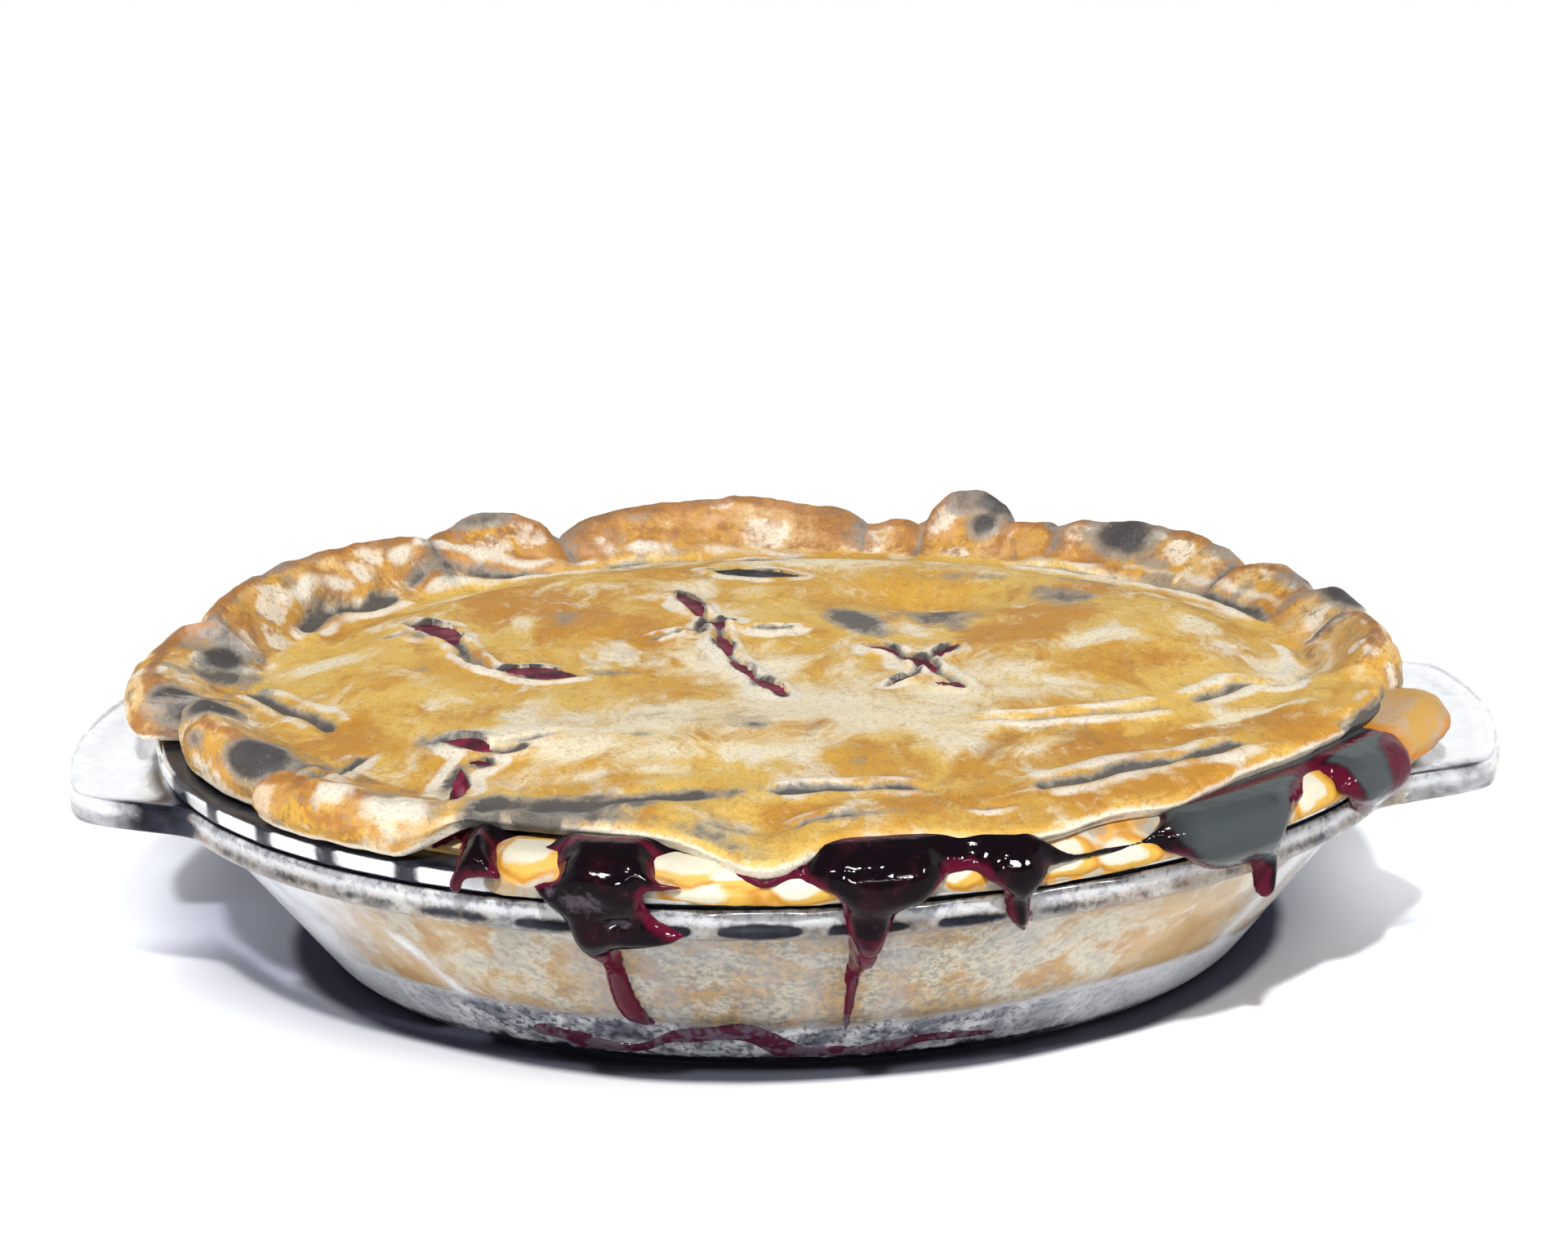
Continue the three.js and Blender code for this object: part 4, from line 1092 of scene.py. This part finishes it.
def liningFinish():
    crust = Finish("palePastry", liningTints)
    spot = crust.add("TexCoord", out="Object")
    patch = crust.grain(spot, 16, 3, 0.6, 0.6)
    cloud = crust.grain(spot, 7, 4, 0.62, 0.4)
    speck = crust.grain(spot, 1.4, 5, 0.7)
    ragged = (cloud - 0.5) * 0.9 + (speck - 0.5) * 0.35
    far = crust.cells(crust.warped(spot, 7, 4), 11) + ragged * 0.5
    plain = crust.coats("flour", [
        (far, 0.26, 0.56, 1, "straw"),
        (far, 0.58, 0.8, 0.8, "amber")])

    # the lap along the burst, with its rounded folds and the big one at the right
    inLobe = crust.attribute("lobe")
    lobe = crust.coats("lobeGold", [
        (cloud, 0.46, 0.56, 1, "lobePink"),
        (cloud + (speck - 0.5) * 0.4, 0.6, 0.7, 0.7, "lobeBrown"),
        (inLobe + ragged * 0.5, 0.7, 0.45, 1, "lobeEdge")])
    fold = crust.attribute("fold")
    burst = crust.coats("dusty", [
        (cloud, 0.44, 0.56, 1, "baked"),
        (fold + ragged * 0.35, 0.12, 0.3, 1, "foldEdge"),
        (fold + ragged * 0.35, 0.3, 0.6, 1, "foldGold"),
        # painted highlight on the upper side of each fold, and painted shade between the folds
        (crust.attribute("pale") + ragged * 0.5, 0.5, 0.8, 1, "foldHighlight"),
        (fold + ragged * 0.2, 0.1, 0.03, 0.55, "grey"),
        (inLobe, 0.1, 0.25, 1, lobe)])

    # what shows through the glass, greyer in the middle of the front
    sideways = crust.add("Math", {"operation": "ABSOLUTE"}, {0: crust.axis(spot, "X")})
    middle = crust.ramp(sideways, 0.075, 0.02)
    behind = crust.coats("behindPale", [
        (patch + (cloud - 0.5) * 0.5, 0.4, 0.56, 1, "behindTan"),
        (cloud, 0.5, 0.64, 0.8, "behindAmber"),
        (patch, 0.44, 0.3, 0.6, "behindGrey"),
        (speck + middle * 0.05, 0.48, 0.66, middle * 0.6 + 0.22, "behindSpeck")])
    colour = crust.blend(crust.attribute("torn"), plain, burst)
    colour = crust.blend(crust.attribute("underGlass"), colour, behind)
    colour = crust.coats(colour, [(speck, 0.6, 0.72, 0.25, "brown")])
    rough = crust.ramp(cloud, 0.3, 0.7) * 0.14 + 0.56
    return bakedShader(crust, colour, rough, crust.bump(speck, 0.22, crust.bump(cloud, 0.5)))


bakedLid = makeLid()
tintLid(bakedLid)
finishShading(bakedLid, 55)
place(bakedLid, "top_crust", lidFinish())
print("lid:", len(bakedLid.data.polygons), "faces")


lining = {
    "steps": 432,
    "sink": 0.2,  # how far it reaches into the glass, so that no air shows
    "tucked": 117.2,  # how far out it lies where the lid is rolled over it
    "lumps": [(6, 2.4, 0.35), (2.5, 7.7, 0.18)],
    "lap": 2.6,  # past the rim along the burst
    "lobe": (-16, 9, 7.0),  # angle, half width, reach
    "folds": [  # angle, height, half angle, half height: rounded folds of the lap in the burst
        (-111, 48.4, 2.7, 3.4), (-107.4, 51, 2.2, 2.0), (-97.4, 47.8, 3.4, 2.2),
        (-93.4, 46.2, 2.4, 1.8), (-96, 42.6, 3.6, 1.4), (-88, 44.2, 2.8, 2.6), (-75.7, 45.0, 1.7, 2.6),
        (-66.5, 44.6, 2.2, 2.4), (-61.3, 44.4, 2.4, 2.6), (-53, 45, 4, 3), (-39.5, 46, 3.2, 3.6),
        (-31, 45, 3, 3), (-118, 47, 2.4, 3), (-16, 50.5, 7, 5)],
    "thick": 4.2,
}


def lapAt(angle):
    at, wide, out = lining["lobe"]
    wave = 0.5 * np.sin(np.radians(angle * 11)) + 0.3 * np.sin(np.radians(angle * 23))
    return dish["rim"] + lining["lap"] + out * hump(angle, at, wide) + wave


def lobeReach(angle, z):
    # how far the lap's one big fold pushes out what lies on it
    at, wide, out = lining["lobe"]
    return out * hump(angle, at, wide) * smooth((z - 38.5) / 5)


def foldsAt(angle, z):
    # 1 in the middle of a fold, 0 between them
    total = np.zeros(np.shape(z))
    for at, height, wide, high in lining["folds"]:
        below, above = np.minimum(z - height, 0) / high, np.maximum(z - height, 0) / (high + 1)
        off = (turnBy(angle - at) / wide) ** 2 + below ** 2 + above ** 2
        total = np.maximum(total, np.exp(-(off ** 1.5)))
    return total


def makeLining():
    angle = np.arange(lining["steps"]) * 360 / lining["steps"]
    burst = 1 - shutAt(angle - 5 * hump(angle, -118, 20))
    lobe = hump(angle, *lining["lobe"][:2])
    tucked = lining["tucked"]
    lap = np.maximum(mix(tucked, lapAt(angle), burst), tucked + 16.8 * lobe)
    past = burst * (1 - lobe)
    sink, thick = lining["sink"], lining["thick"]
    rim, rimTop, foot, floorTop = dish["rim"], dish["rimHeight"], dish["foot"], dish["wall"]
    top = 47.6 + 1.5 * burst
    wave = 0.8 * np.sin(np.radians(angle * 17)) + 0.6 * np.sin(np.radians(angle * 7 + 40))
    corners = [
        (0, floorTop - sink), (foot - 16, floorTop - sink),
        (foot - 10 + sink, floorTop + 1 - sink), (innerWall(12) + sink, 12),
        (innerWall(34) + sink, 34), (innerWall(40) + sink, 40),
        (rim - 9.5 + sink, rimTop + 0.1), (mix(lap - 2, rim + 0.4, past), rimTop + 0.15),
        (mix(lap - 1, rim + 0.7, past), mix(rimTop + 0.3, 41.9 + 0.5 * wave, past)),
        (lap - 0.6, mix(rimTop + 0.5, 41.4 + 0.6 * wave, past)),
        (lap + 0.1, mix(45.9, 43.8, past) + 1.6 * lobe), (lap - 1 - lobe, 46.6 + 3.4 * lobe),
        (lap - 4 - 2 * lobe, top + 4.6 * lobe), (112, top + 2 * lobe), (109, top - 1.4),
        (innerWall(32) - thick - 1, 32), (innerWall(12) - thick - 1, 14),
        (74, floorTop + thick), (0, floorTop + thick),
    ]
    counts = [6, 2, 3, 20, 4, 3, 5, 4, 3, 5, 4, 5, 4, 2, 4, 6, 5, 5]
    r, z = sectionLine(corners, counts, 1)
    turn = np.radians(angle)[:, None]
    x, y = r * np.cos(turn), r * np.sin(turn)
    station = np.arange(r.shape[1])
    shown = smooth((station - 42) / 4.0) * smooth((64 - station) / 4.0)
    rough = lumpy(x, y, z, lining["lumps"]) + 0.9 * lobe[:, None] * lumps(x, y, z, 4.5, 6.1)
    out = shown * rough + shown * burst[:, None] * (0.9 * foldsAt(angle[:, None], z) - 0.5)
    piece = spunShell("liningCrust", r, *pushOut(x, y, z, out))
    tintLining(piece)
    finishShading(piece)
    return piece


def tintLining(piece):
    x, y, z, spin, radius = roundPlaces(piece)
    inBurst = (1 - shutAt(spin)) * (radius > 116)
    aside = spin + 1.6 * lumps(x, y, z, 6, 5.5)  # the folds' colours wander a little off the folds
    raised = z + 1.4 * lumps(x, y, z, 5, 9.5)
    mark(piece, "underGlass", smooth((115.9 - radius) / 0.8) * smooth(45 - z))
    mark(piece, "fold", foldsAt(aside, raised) * inBurst)
    # painted highlight: the folds' pattern shifted up and to one side
    mark(piece, "pale", foldsAt(aside + 0.8, raised - 0.9) * inBurst)
    mark(piece, "torn", inBurst)
    lobe = np.exp(-((spin + 17) / 8.5) ** 4 - ((radius - 126) / 9) ** 4)
    mark(piece, "lobe", lobe * smooth((z - 43) / 3) * inBurst)


liningCrust = makeLining()
place(liningCrust, "lower_crust", liningFinish())
print("lower crust:", len(liningCrust.data.polygons), "faces")


# what shows of the filling in the slits
core = {
    "steps": 300,
    "under": 10,
    "rings": 110,
    "radius": 100.0,
    "bottom": 42.0,
    "side": 46,
    "inSlits": 0.1,  # below the lid's top, in the slits
    "below": 5.0,  # and away from them
}


def makeCore():
    turn = np.radians(np.arange(core["steps"]) * 360 / core["steps"])[:, None]
    under = core["under"]
    underR = np.linspace(0, core["radius"], under) + 0 * turn
    topR = np.linspace(core["radius"] + 1, 0, core["rings"]) + 0 * turn
    r = np.hstack([underR, topR])
    x, y = r * np.cos(turn), r * np.sin(turn)
    top = lidTop(x, y) - mix(core["inSlits"], core["below"], smooth((nearSlits(x, y) - 0.6) / 1.6))
    top = top + 0.25 * lumps(x, y, 0 * x, 5, 1.9)
    z = np.where(np.arange(r.shape[1]) < under, core["bottom"], top)
    z[:, under - 1] = z[:, under] = core["side"]
    z[:, -1] = z[:, -1].mean()
    piece = spunShell("fillingCore", r, x, y, z)
    x, y, z = places(piece).T
    # painted shadow: the filling darkened under the big slit at the back
    mark(piece, "deep", blot(x, y, -6, 67, 18, 7, -20))  # under the slit at the back
    finishShading(piece)
    return piece


syrup = {
    "cell": 0.5,  # grid spacing
    "voxel": 0.00043,
    "drips": [(-45.4, 1.6, 29.6)],  # angle, half width, and how far along it leaves the ledge to hang
    "dripRadius": 125.8,
    # where the painted reflection on the right runs ends
    "reflectionEnd": ([11, 15, 18, 22], [-20.5, -25, -28, -30]),  # how far along, and the angle where it ends
    "from": -126.0,
    "to": -14.0,
    "thickness": 2.7,
    "poolThickness": 0.6,
    "seam": 14.2,  # how far along the lid's edge hangs over it
    "bank": (14.0, 7.0, 1.9),  # how far along, half width and height of the swell against the lid's edge
    "wallThickness": 1.35,
    "corner": (42, 7.5, 3.6),  # the same of what fills the corner under the ledge
    "carrier": [  # radius and height of what it runs over, from under the lid down to the table
        (108, 48.3), (112, 48.4), (118, 48.6), (124, 48.5), (127, 48), (128.7, 47.1), (129.6, 45.8),
        (130, 44.2), (129.6, 42.6), (128.6, 41.2), (127.4, 39.8), (126.5, 38.2), (126, 36.4),
        (125.3, 34.8), (123.6, 33.8), (121.4, 33.3), (119.8, 32.2), (117.1, 30), (113.8, 26),
        (110.6, 22), (107.3, 18), (104.1, 14), (100.8, 10), (97.6, 6), (95.1, 3), (93.5, 1)],
    "outlines": {  # angle and distance along the carrier
        "left": [
            (-124.2, 0), (-123.9, 3), (-123.2, 6.8), (-122.2, 11.2), (-121.5, 12.4), (-121.4, 9),
            (-120.7, 6.8), (-119.3, 10.5), (-117.9, 15.8), (-117.3, 19.2), (-117.1, 21.5), (-117.4, 24),
            (-117.7, 26), (-117.7, 28.3), (-117, 28.3), (-116.5, 25.7), (-116, 24.1), (-115.2, 23.4),
            (-114.3, 23.1), (-113.2, 22.9), (-113.3, 20.6), (-114.1, 16.9), (-114.6, 12.8),
            (-114.4, 9.4), (-113.5, 8.7), (-112.1, 11.5), (-110.5, 14.6), (-109, 15.5), (-108.8, 13.5),
            (-110, 11.3), (-111.5, 9.6), (-112.6, 7.3), (-112.6, 3), (-113.5, 0)],
        "middle": [
            (-111.2, 12.8), (-109.8, 14.6), (-109.2, 16.6), (-108.4, 18.5), (-108.2, 21.5),
            (-109.2, 22.7), (-110.1, 23.6), (-110, 25), (-109.6, 27.4), (-109.3, 29.2), (-108.6, 31.3),
            (-108, 34), (-107.9, 38), (-107.7, 41), (-106.8, 43), (-106.9, 47), (-107.2, 52.3),
            (-107.5, 58.4), (-107.6, 63.9), (-107, 68.1), (-105.6, 69.6), (-104, 70.1), (-104.6, 66.4),
            (-105, 61.6), (-105.2, 54.6), (-104.9, 48.3), (-104.7, 44.4), (-104.2, 42.1),
            (-101.6, 39.4), (-98.3, 36.2), (-98.6, 34.6), (-100.2, 32.6), (-101.2, 30.1),
            (-101.3, 27.5), (-101.2, 25.3), (-101, 23.6), (-99.2, 23.4), (-98, 22.4), (-99.9, 21.4),
            (-100.4, 18.9), (-100.3, 16.1), (-99.5, 13.6), (-98.3, 11.8), (-96.9, 13.8), (-95.6, 16.3),
            (-94.2, 19.1), (-93.1, 21), (-92.1, 22.5), (-91.5, 22.7), (-90.8, 21.8), (-89.9, 20.4),
            (-88.4, 19.8), (-87.8, 15), (-88.6, 14.9), (-89.5, 16.6), (-90.4, 18.9), (-91.3, 20.2),
            (-91.9, 20.4), (-92.5, 19.6), (-93.5, 17), (-94.6, 12.3), (-96, 7), (-97.5, 3.4), (-99, 0),
            (-110, 0), (-110.3, 7)],
        "right": [
            (-88.9, 12), (-88.8, 20.1), (-88, 22.1), (-87.2, 23.6), (-86.3, 25.3), (-85.9, 27.2),
            (-85.6, 29.9), (-85.4, 33.1), (-85, 39), (-84.8, 44.4), (-84.8, 50), (-84.8, 56.5),
            (-84.7, 64.1), (-84.5, 71.1), (-84.2, 72.2), (-83.9, 71), (-83.6, 64), (-83.4, 56.7),
            (-83, 50.6), (-82.4, 45.5), (-81.9, 39), (-81.7, 35.3), (-81.4, 32.4), (-80.9, 30.7),
            (-80.2, 29.4), (-79.3, 28.4), (-78.7, 27.2), (-78.3, 25.2), (-77.9, 23.5), (-77.4, 21.9),
            (-77.3, 20.2), (-76.6, 19.9), (-75.6, 20.1), (-74.8, 20.9), (-74.5, 22.2), (-74.3, 23.7),
            (-73.6, 25.3), (-72.8, 27.7), (-72.3, 30), (-72, 33.2), (-71.5, 36.7), (-70.6, 40.6),
            (-69.9, 42.5), (-69, 42.4), (-68.9, 40.9), (-69.6, 36.5), (-69.9, 33), (-69.9, 30.5),
            (-69.8, 28), (-69.4, 25.7), (-69.1, 23.9), (-68.8, 22.3), (-67.6, 21.8), (-65, 20.9),
            (-62.6, 20.7), (-60.3, 20.6), (-59, 21.4), (-58.2, 24.1), (-56.5, 27), (-54, 30.9),
            (-51.5, 32.7), (-49.6, 33), (-47.9, 33.4), (-46.9, 34.6), (-46.5, 37), (-46.2, 39.4),
            (-45.5, 40.4), (-44.8, 39.6), (-44.4, 37), (-44.1, 33), (-44.4, 30), (-45.2, 25.7),
            (-44.8, 24.2), (-43.9, 21.8), (-41.9, 19.3), (-39.2, 16.8), (-37, 16.6), (-36.2, 17.8),
            (-36.6, 20.6), (-36.4, 23.3), (-34.8, 27.3), (-32.4, 30.4), (-29.9, 33.2), (-28.4, 32.6),
            (-27, 30), (-25.9, 24.9), (-25.2, 20.8), (-23, 16.1), (-21.2, 11.3), (-20, 7), (-20.4, 2),
            (-22, 0), (-57, 0), (-57.4, 13), (-60, 19.2), (-64, 19.6), (-67, 19.8), (-68.6, 15),
            (-69.4, 9), (-70, 0), (-86, 0), (-87.8, 6)],
        "pool": [
            (-119.3, 75.1), (-117.5, 73.6), (-116.2, 74.4), (-112.6, 75.2), (-110.8, 76.8),
            (-107.1, 77.3), (-104.9, 75.2), (-103, 72.6), (-101, 71.2), (-97.2, 70), (-95.5, 69.3),
            (-93.8, 69.7), (-92.2, 71.7), (-90.8, 73.7), (-89.1, 76.2), (-87.1, 77.1), (-82, 77.8),
            (-80, 77), (-75.7, 75.9), (-70.4, 76.5), (-66.2, 78.3), (-69.3, 78.6), (-72.9, 78.3),
            (-75.6, 78.2), (-77.7, 80), (-79.2, 81), (-85.5, 81.2), (-89.1, 81.2), (-91.1, 80.8),
            (-92.6, 78.4), (-94.5, 75.3), (-96.9, 74.2), (-99.4, 75.2), (-103.1, 76), (-105.2, 78.4),
            (-107.4, 79.9), (-111.3, 80.3), (-114.1, 80.5), (-115.7, 78.1), (-118.9, 77.3)],
    },
    "sheer": [  # angle, how far along, half sizes: patches that are only a film
        (-106, 26, 2.3, 2.4), (-103.4, 31, 1.2, 1.2), (-108.6, 24.4, 0.8, 1.2)],
}

carrierLine = np.array(syrup["carrier"], float)
carrierAlong = np.concatenate([[0], np.cumsum(np.hypot(*np.diff(carrierLine, axis=0).T))])
roundness = 129 * math.pi / 180  # millimetres for one degree at the rim


def carrierPoint(along):
    # radius and height, so far along the carrier
    return [np.interp(along, carrierAlong, column) for column in carrierLine.T]


def carrierAt(angle, along):
    # radius and height of the surface that the syrup lies on, and its outward direction
    r, z = carrierPoint(along)
    r = r + lobeReach(angle, z)
    hanging = 0
    for at, wide, leaves in syrup["drips"]:
        share = smooth(1.6 * hump(angle, at, wide)) * smooth((along - leaves) / 3)
        height = carrierPoint(leaves)[1] - (along - leaves)
        r, z = mix(r, syrup["dripRadius"], share), mix(z, height, share)
        hanging = np.maximum(hanging, share)
    step = 0.8
    r1, z1 = carrierPoint(along + step)
    r0, z0 = carrierPoint(along - step)
    dr, dz = r1 - r0, z1 - z0
    size = np.maximum(np.hypot(dr, dz), 1e-6)
    return r, z, mix(-dz / size, 1, hanging), mix(dr / size, 0, hanging)


def insideOutline(angle, along, outline):
    # distance in from a closed outline, negative outside it
    points = softPath(outline + outline[:1], 3)
    points[:, 0] *= roundness
    u, v = angle * roundness, along
    best = np.full(np.shape(u), 1e9)
    inside = np.zeros(np.shape(u), bool)
    for (x0, y0), (x1, y1) in zip(points[:-1], points[1:]):
        dx, dy = x1 - x0, y1 - y0
        t = np.clip(((u - x0) * dx + (v - y0) * dy) / max(dx * dx + dy * dy, 1e-9), 0, 1)
        best = np.minimum(best, np.hypot(u - x0 - dx * t, v - y0 - dy * t))
        if y0 != y1:
            inside ^= ((y0 > v) != (y1 > v)) & (u < dx * (v - y0) / (y1 - y0) + x0)
    return np.where(inside, best, -best)


def sheerPatches(angle, along):
    # 1 in the middle of each thin patch
    patches = []
    for at, far, wide, long in syrup["sheer"]:
        patches.append(np.exp(-((angle - at) / wide) ** 2 - ((along - far) / long) ** 2))
    return patches


def syrupDepth(angle, along):
    # distance in from the edge of the nearest run, and how thick the syrup lies there
    depth = np.full(np.shape(angle), -9.0)
    thick = np.zeros(np.shape(angle))
    onDish = mix(syrup["thickness"], syrup["wallThickness"], smooth((along - 37) / 6))
    for name, outline in syrup["outlines"].items():
        d = insideOutline(angle, along, outline)
        most = syrup["poolThickness"] if name == "pool" else onDish
        depth = np.maximum(depth, d)
        thick = np.maximum(thick, most * np.tanh(np.maximum(d, 0) * 1.15 / most))
    at, wide, high = syrup["bank"]
    thick = thick + high * smooth(depth / 5) * bell(along, at, wide) * (1 - 0.75 * smooth((angle + 60) / 5))
    at, wide, high = syrup["corner"]
    stems = np.maximum(0.15, np.maximum(hump(angle, -83.3, 2.2), 0.8 * hump(angle, -106.4, 1.8)))
    thick = thick + high * stems * smooth(depth / 1.6) * bell(along, at, wide)
    for patch in sheerPatches(angle, along):
        thick = thick * (1 - 0.5 * patch)
    return depth, thick


def makeSyrup():
    wide = (syrup["to"] - syrup["from"]) * roundness
    long = carrierAlong[-1] - 2
    columns, rows = int(wide / syrup["cell"]), int(long / syrup["cell"])
    deselectAll()
    bpy.ops.mesh.primitive_grid_add(x_subdivisions=columns, y_subdivisions=rows, size=2)
    piece = bpy.context.object
    piece.name = piece.data.name = "cherrySyrup"
    p = places(piece) / perMetre
    angle = mix(syrup["from"], syrup["to"], (p[:, 0] + 1) / 2)
    along = (p[:, 1] + 1) / 2 * long
    depth, thick = syrupDepth(angle, along)
    flat = {"angle": angle, "along": along, "rise": thick}
    for name, values in flat.items():
        mark(piece, name, values)
    pickVertices(piece, depth < -0.2)
    bpy.ops.mesh.delete(type="VERT")
    bpy.ops.mesh.select_all(action="SELECT")
    bpy.ops.mesh.extrude_region_move(TRANSFORM_OT_translate={"value": (0, 0, 0.001)})
    bpy.ops.object.mode_set(mode="OBJECT")

    # the flat sheet is laid over the carrier, its underside sunk a little into what carries it
    angle, along, rise = (marks(piece, name).astype(float) for name in flat)
    raised = places(piece)[:, 2] > 0.5
    r, z, outR, outZ = carrierAt(angle, along)
    onWall = smooth((along - 38) / 6)
    shift = np.where(raised, rise + mix(-1.2, -0.35, onWall), mix(-2.6, -0.95, onWall))
    r, z = r + outR * shift, np.maximum(z + outZ * shift, 0.25)
    turn = np.radians(angle)
    setPlaces(piece, np.stack([r * np.cos(turn), r * np.sin(turn), z], 1))
    for name in flat:
        piece.data.attributes.remove(piece.data.attributes[name])
    pickOnly(piece)
    bpy.ops.object.mode_set(mode="EDIT")
    faceOutward()
    applyModifier(piece, "REMESH", mode="VOXEL", voxel_size=syrup["voxel"], adaptivity=0.0)
    applyModifier(piece, "SMOOTH", factor=0.5, iterations=6)
    tintSyrup(piece)
    finishShading(piece)
    return piece


def tintSyrup(piece):
    _, _, z, spin, radius = roundPlaces(piece)
    share = pathDistance(radius - lobeReach(spin, z), z, carrierLine)[2]
    along = np.interp(share * (len(carrierLine) - 1), np.arange(len(carrierLine)), carrierAlong)
    depth = syrupDepth(spin, along)[0]
    atSeam = np.abs(along - syrup["seam"])

    # maroon along the edges, down the stems and round the two slate patches, which are a painted reflection
    # of the sky
    edge = bell(np.maximum(depth, 0), 0, mix(1.6, 2.4, smooth((along - 30) / 10)))
    slate = smooth((spin + 60) / 5)
    edge = np.maximum(edge, slate * bell(np.maximum(depth - 0.6, 0), 0, 2.0))
    edge = np.maximum(edge, 0.85 * bell(atSeam, 0, 1.5))
    edge = np.maximum(edge, smooth((along - 37) / 5) * mix(0.45, 1, hump(spin, -106, 8)))
    edge = np.maximum(edge, 0.8 * smooth((along - 31) / 5) * hump(spin, -83, 4))
    rightEnd = np.interp(along, *syrup["reflectionEnd"])
    edge = np.maximum(edge, 0.8 * smooth((spin - rightEnd + 2) / 2) * smooth((spin + 40) / 4))
    edge = edge * (1 - 0.8 * band(spin, -69, -58, 2) * band(along, 16, 24, 2))
    slate = slate * smooth((depth - 1.9) / 1.1) * smooth((rightEnd - spin) / 1.5)
    slate = slate * smooth((atSeam - 0.8) / 1.2) * smooth((33.5 - along) / 1.5)
    mark(piece, "edge", np.clip(edge, 0, 1))
    mark(piece, "skyReflection", slate)
    mark(piece, "film", np.maximum.reduce(sheerPatches(spin, along)))
    mark(piece, "pool", smooth((along - 64) / 4))


syrupTints = {
    "deep": paint(16, 9, 14),
    "red": paint(46, 12, 24),
    "maroon": paint(84, 16, 38),
    # painted reflection of the sky on the two runs at the right
    "slate": paint(66, 71, 73),
    "film": paint(84, 74, 82),
    "pool": paint(70, 24, 44),
    "poolGrey": paint(88, 74, 86),
    "cherry": paint(122, 22, 52),
    "darkCherry": paint(64, 14, 32),
    "shadow": paint(20, 18, 18),
}


def syrupFinish():
    wetRed = Finish("cherrySyrup", syrupTints)
    spot = wetRed.add("TexCoord", out="Object")
    cloud = wetRed.grain(spot, 6, 3)
    fine = wetRed.grain(spot, 1.5, 3) - 0.5
    uneven = (cloud - 0.5) * 0.9 + fine * 0.5
    colour = wetRed.coats("deep", [
        (cloud, 0.5, 0.72, 0.5, "red"),
        (wetRed.attribute("edge") + uneven * 0.8, 0.3, 0.9, 1, "maroon"),
        (cloud, 0.1, 0.4, wetRed.attribute("skyReflection"), "slate"),
        (wetRed.attribute("film") + fine * 1.2 + uneven, 0.3, 1.1, 0.8, "film")])
    pool = wetRed.blend(wetRed.ramp(cloud + fine * 0.7, 0.42, 0.58), "pool", "poolGrey")
    colour = wetRed.blend(wetRed.attribute("pool"), colour, pool)
    return wetRed.close(wetRed.add("BsdfPrincipled", None, {
        "Base Color": colour, "Roughness": wetRed.ramp(cloud, 0.2, 0.8) * 0.03 + 0.05,
        "Normal": wetRed.bump(wetRed.grain(spot, 3.2, 2), 0.22), "Specular IOR Level": 0.08,
        "Coat Weight": 0.03, "Coat Roughness": 0.03}))


def coreFinish():
    fruit = Finish("cherryFilling", syrupTints)
    cloud = fruit.grain(fruit.add("TexCoord", out="Object"), 5, 4)
    colour = fruit.coats("cherry", [
        (cloud, 0.35, 0.65, 1, "darkCherry"),
        (fruit.attribute("deep"), 0.3, 0.6, 1, "shadow")])
    return fruit.close(fruit.add("BsdfPrincipled", None, {
        "Base Color": colour, "Roughness": fruit.ramp(cloud, 0.3, 0.7) * 0.2 + 0.45,
        "Specular IOR Level": 0.15, "Normal": fruit.bump(cloud, 0.6)}))


cherryRed = syrupFinish()
fillingCore = makeCore()
place(fillingCore, "cherry_filling", coreFinish())
cherrySyrup = makeSyrup()
place(cherrySyrup, "cherry_filling", cherryRed)
print("filling:", len(fillingCore.data.polygons), "faces; syrup:", len(cherrySyrup.data.polygons), "faces")
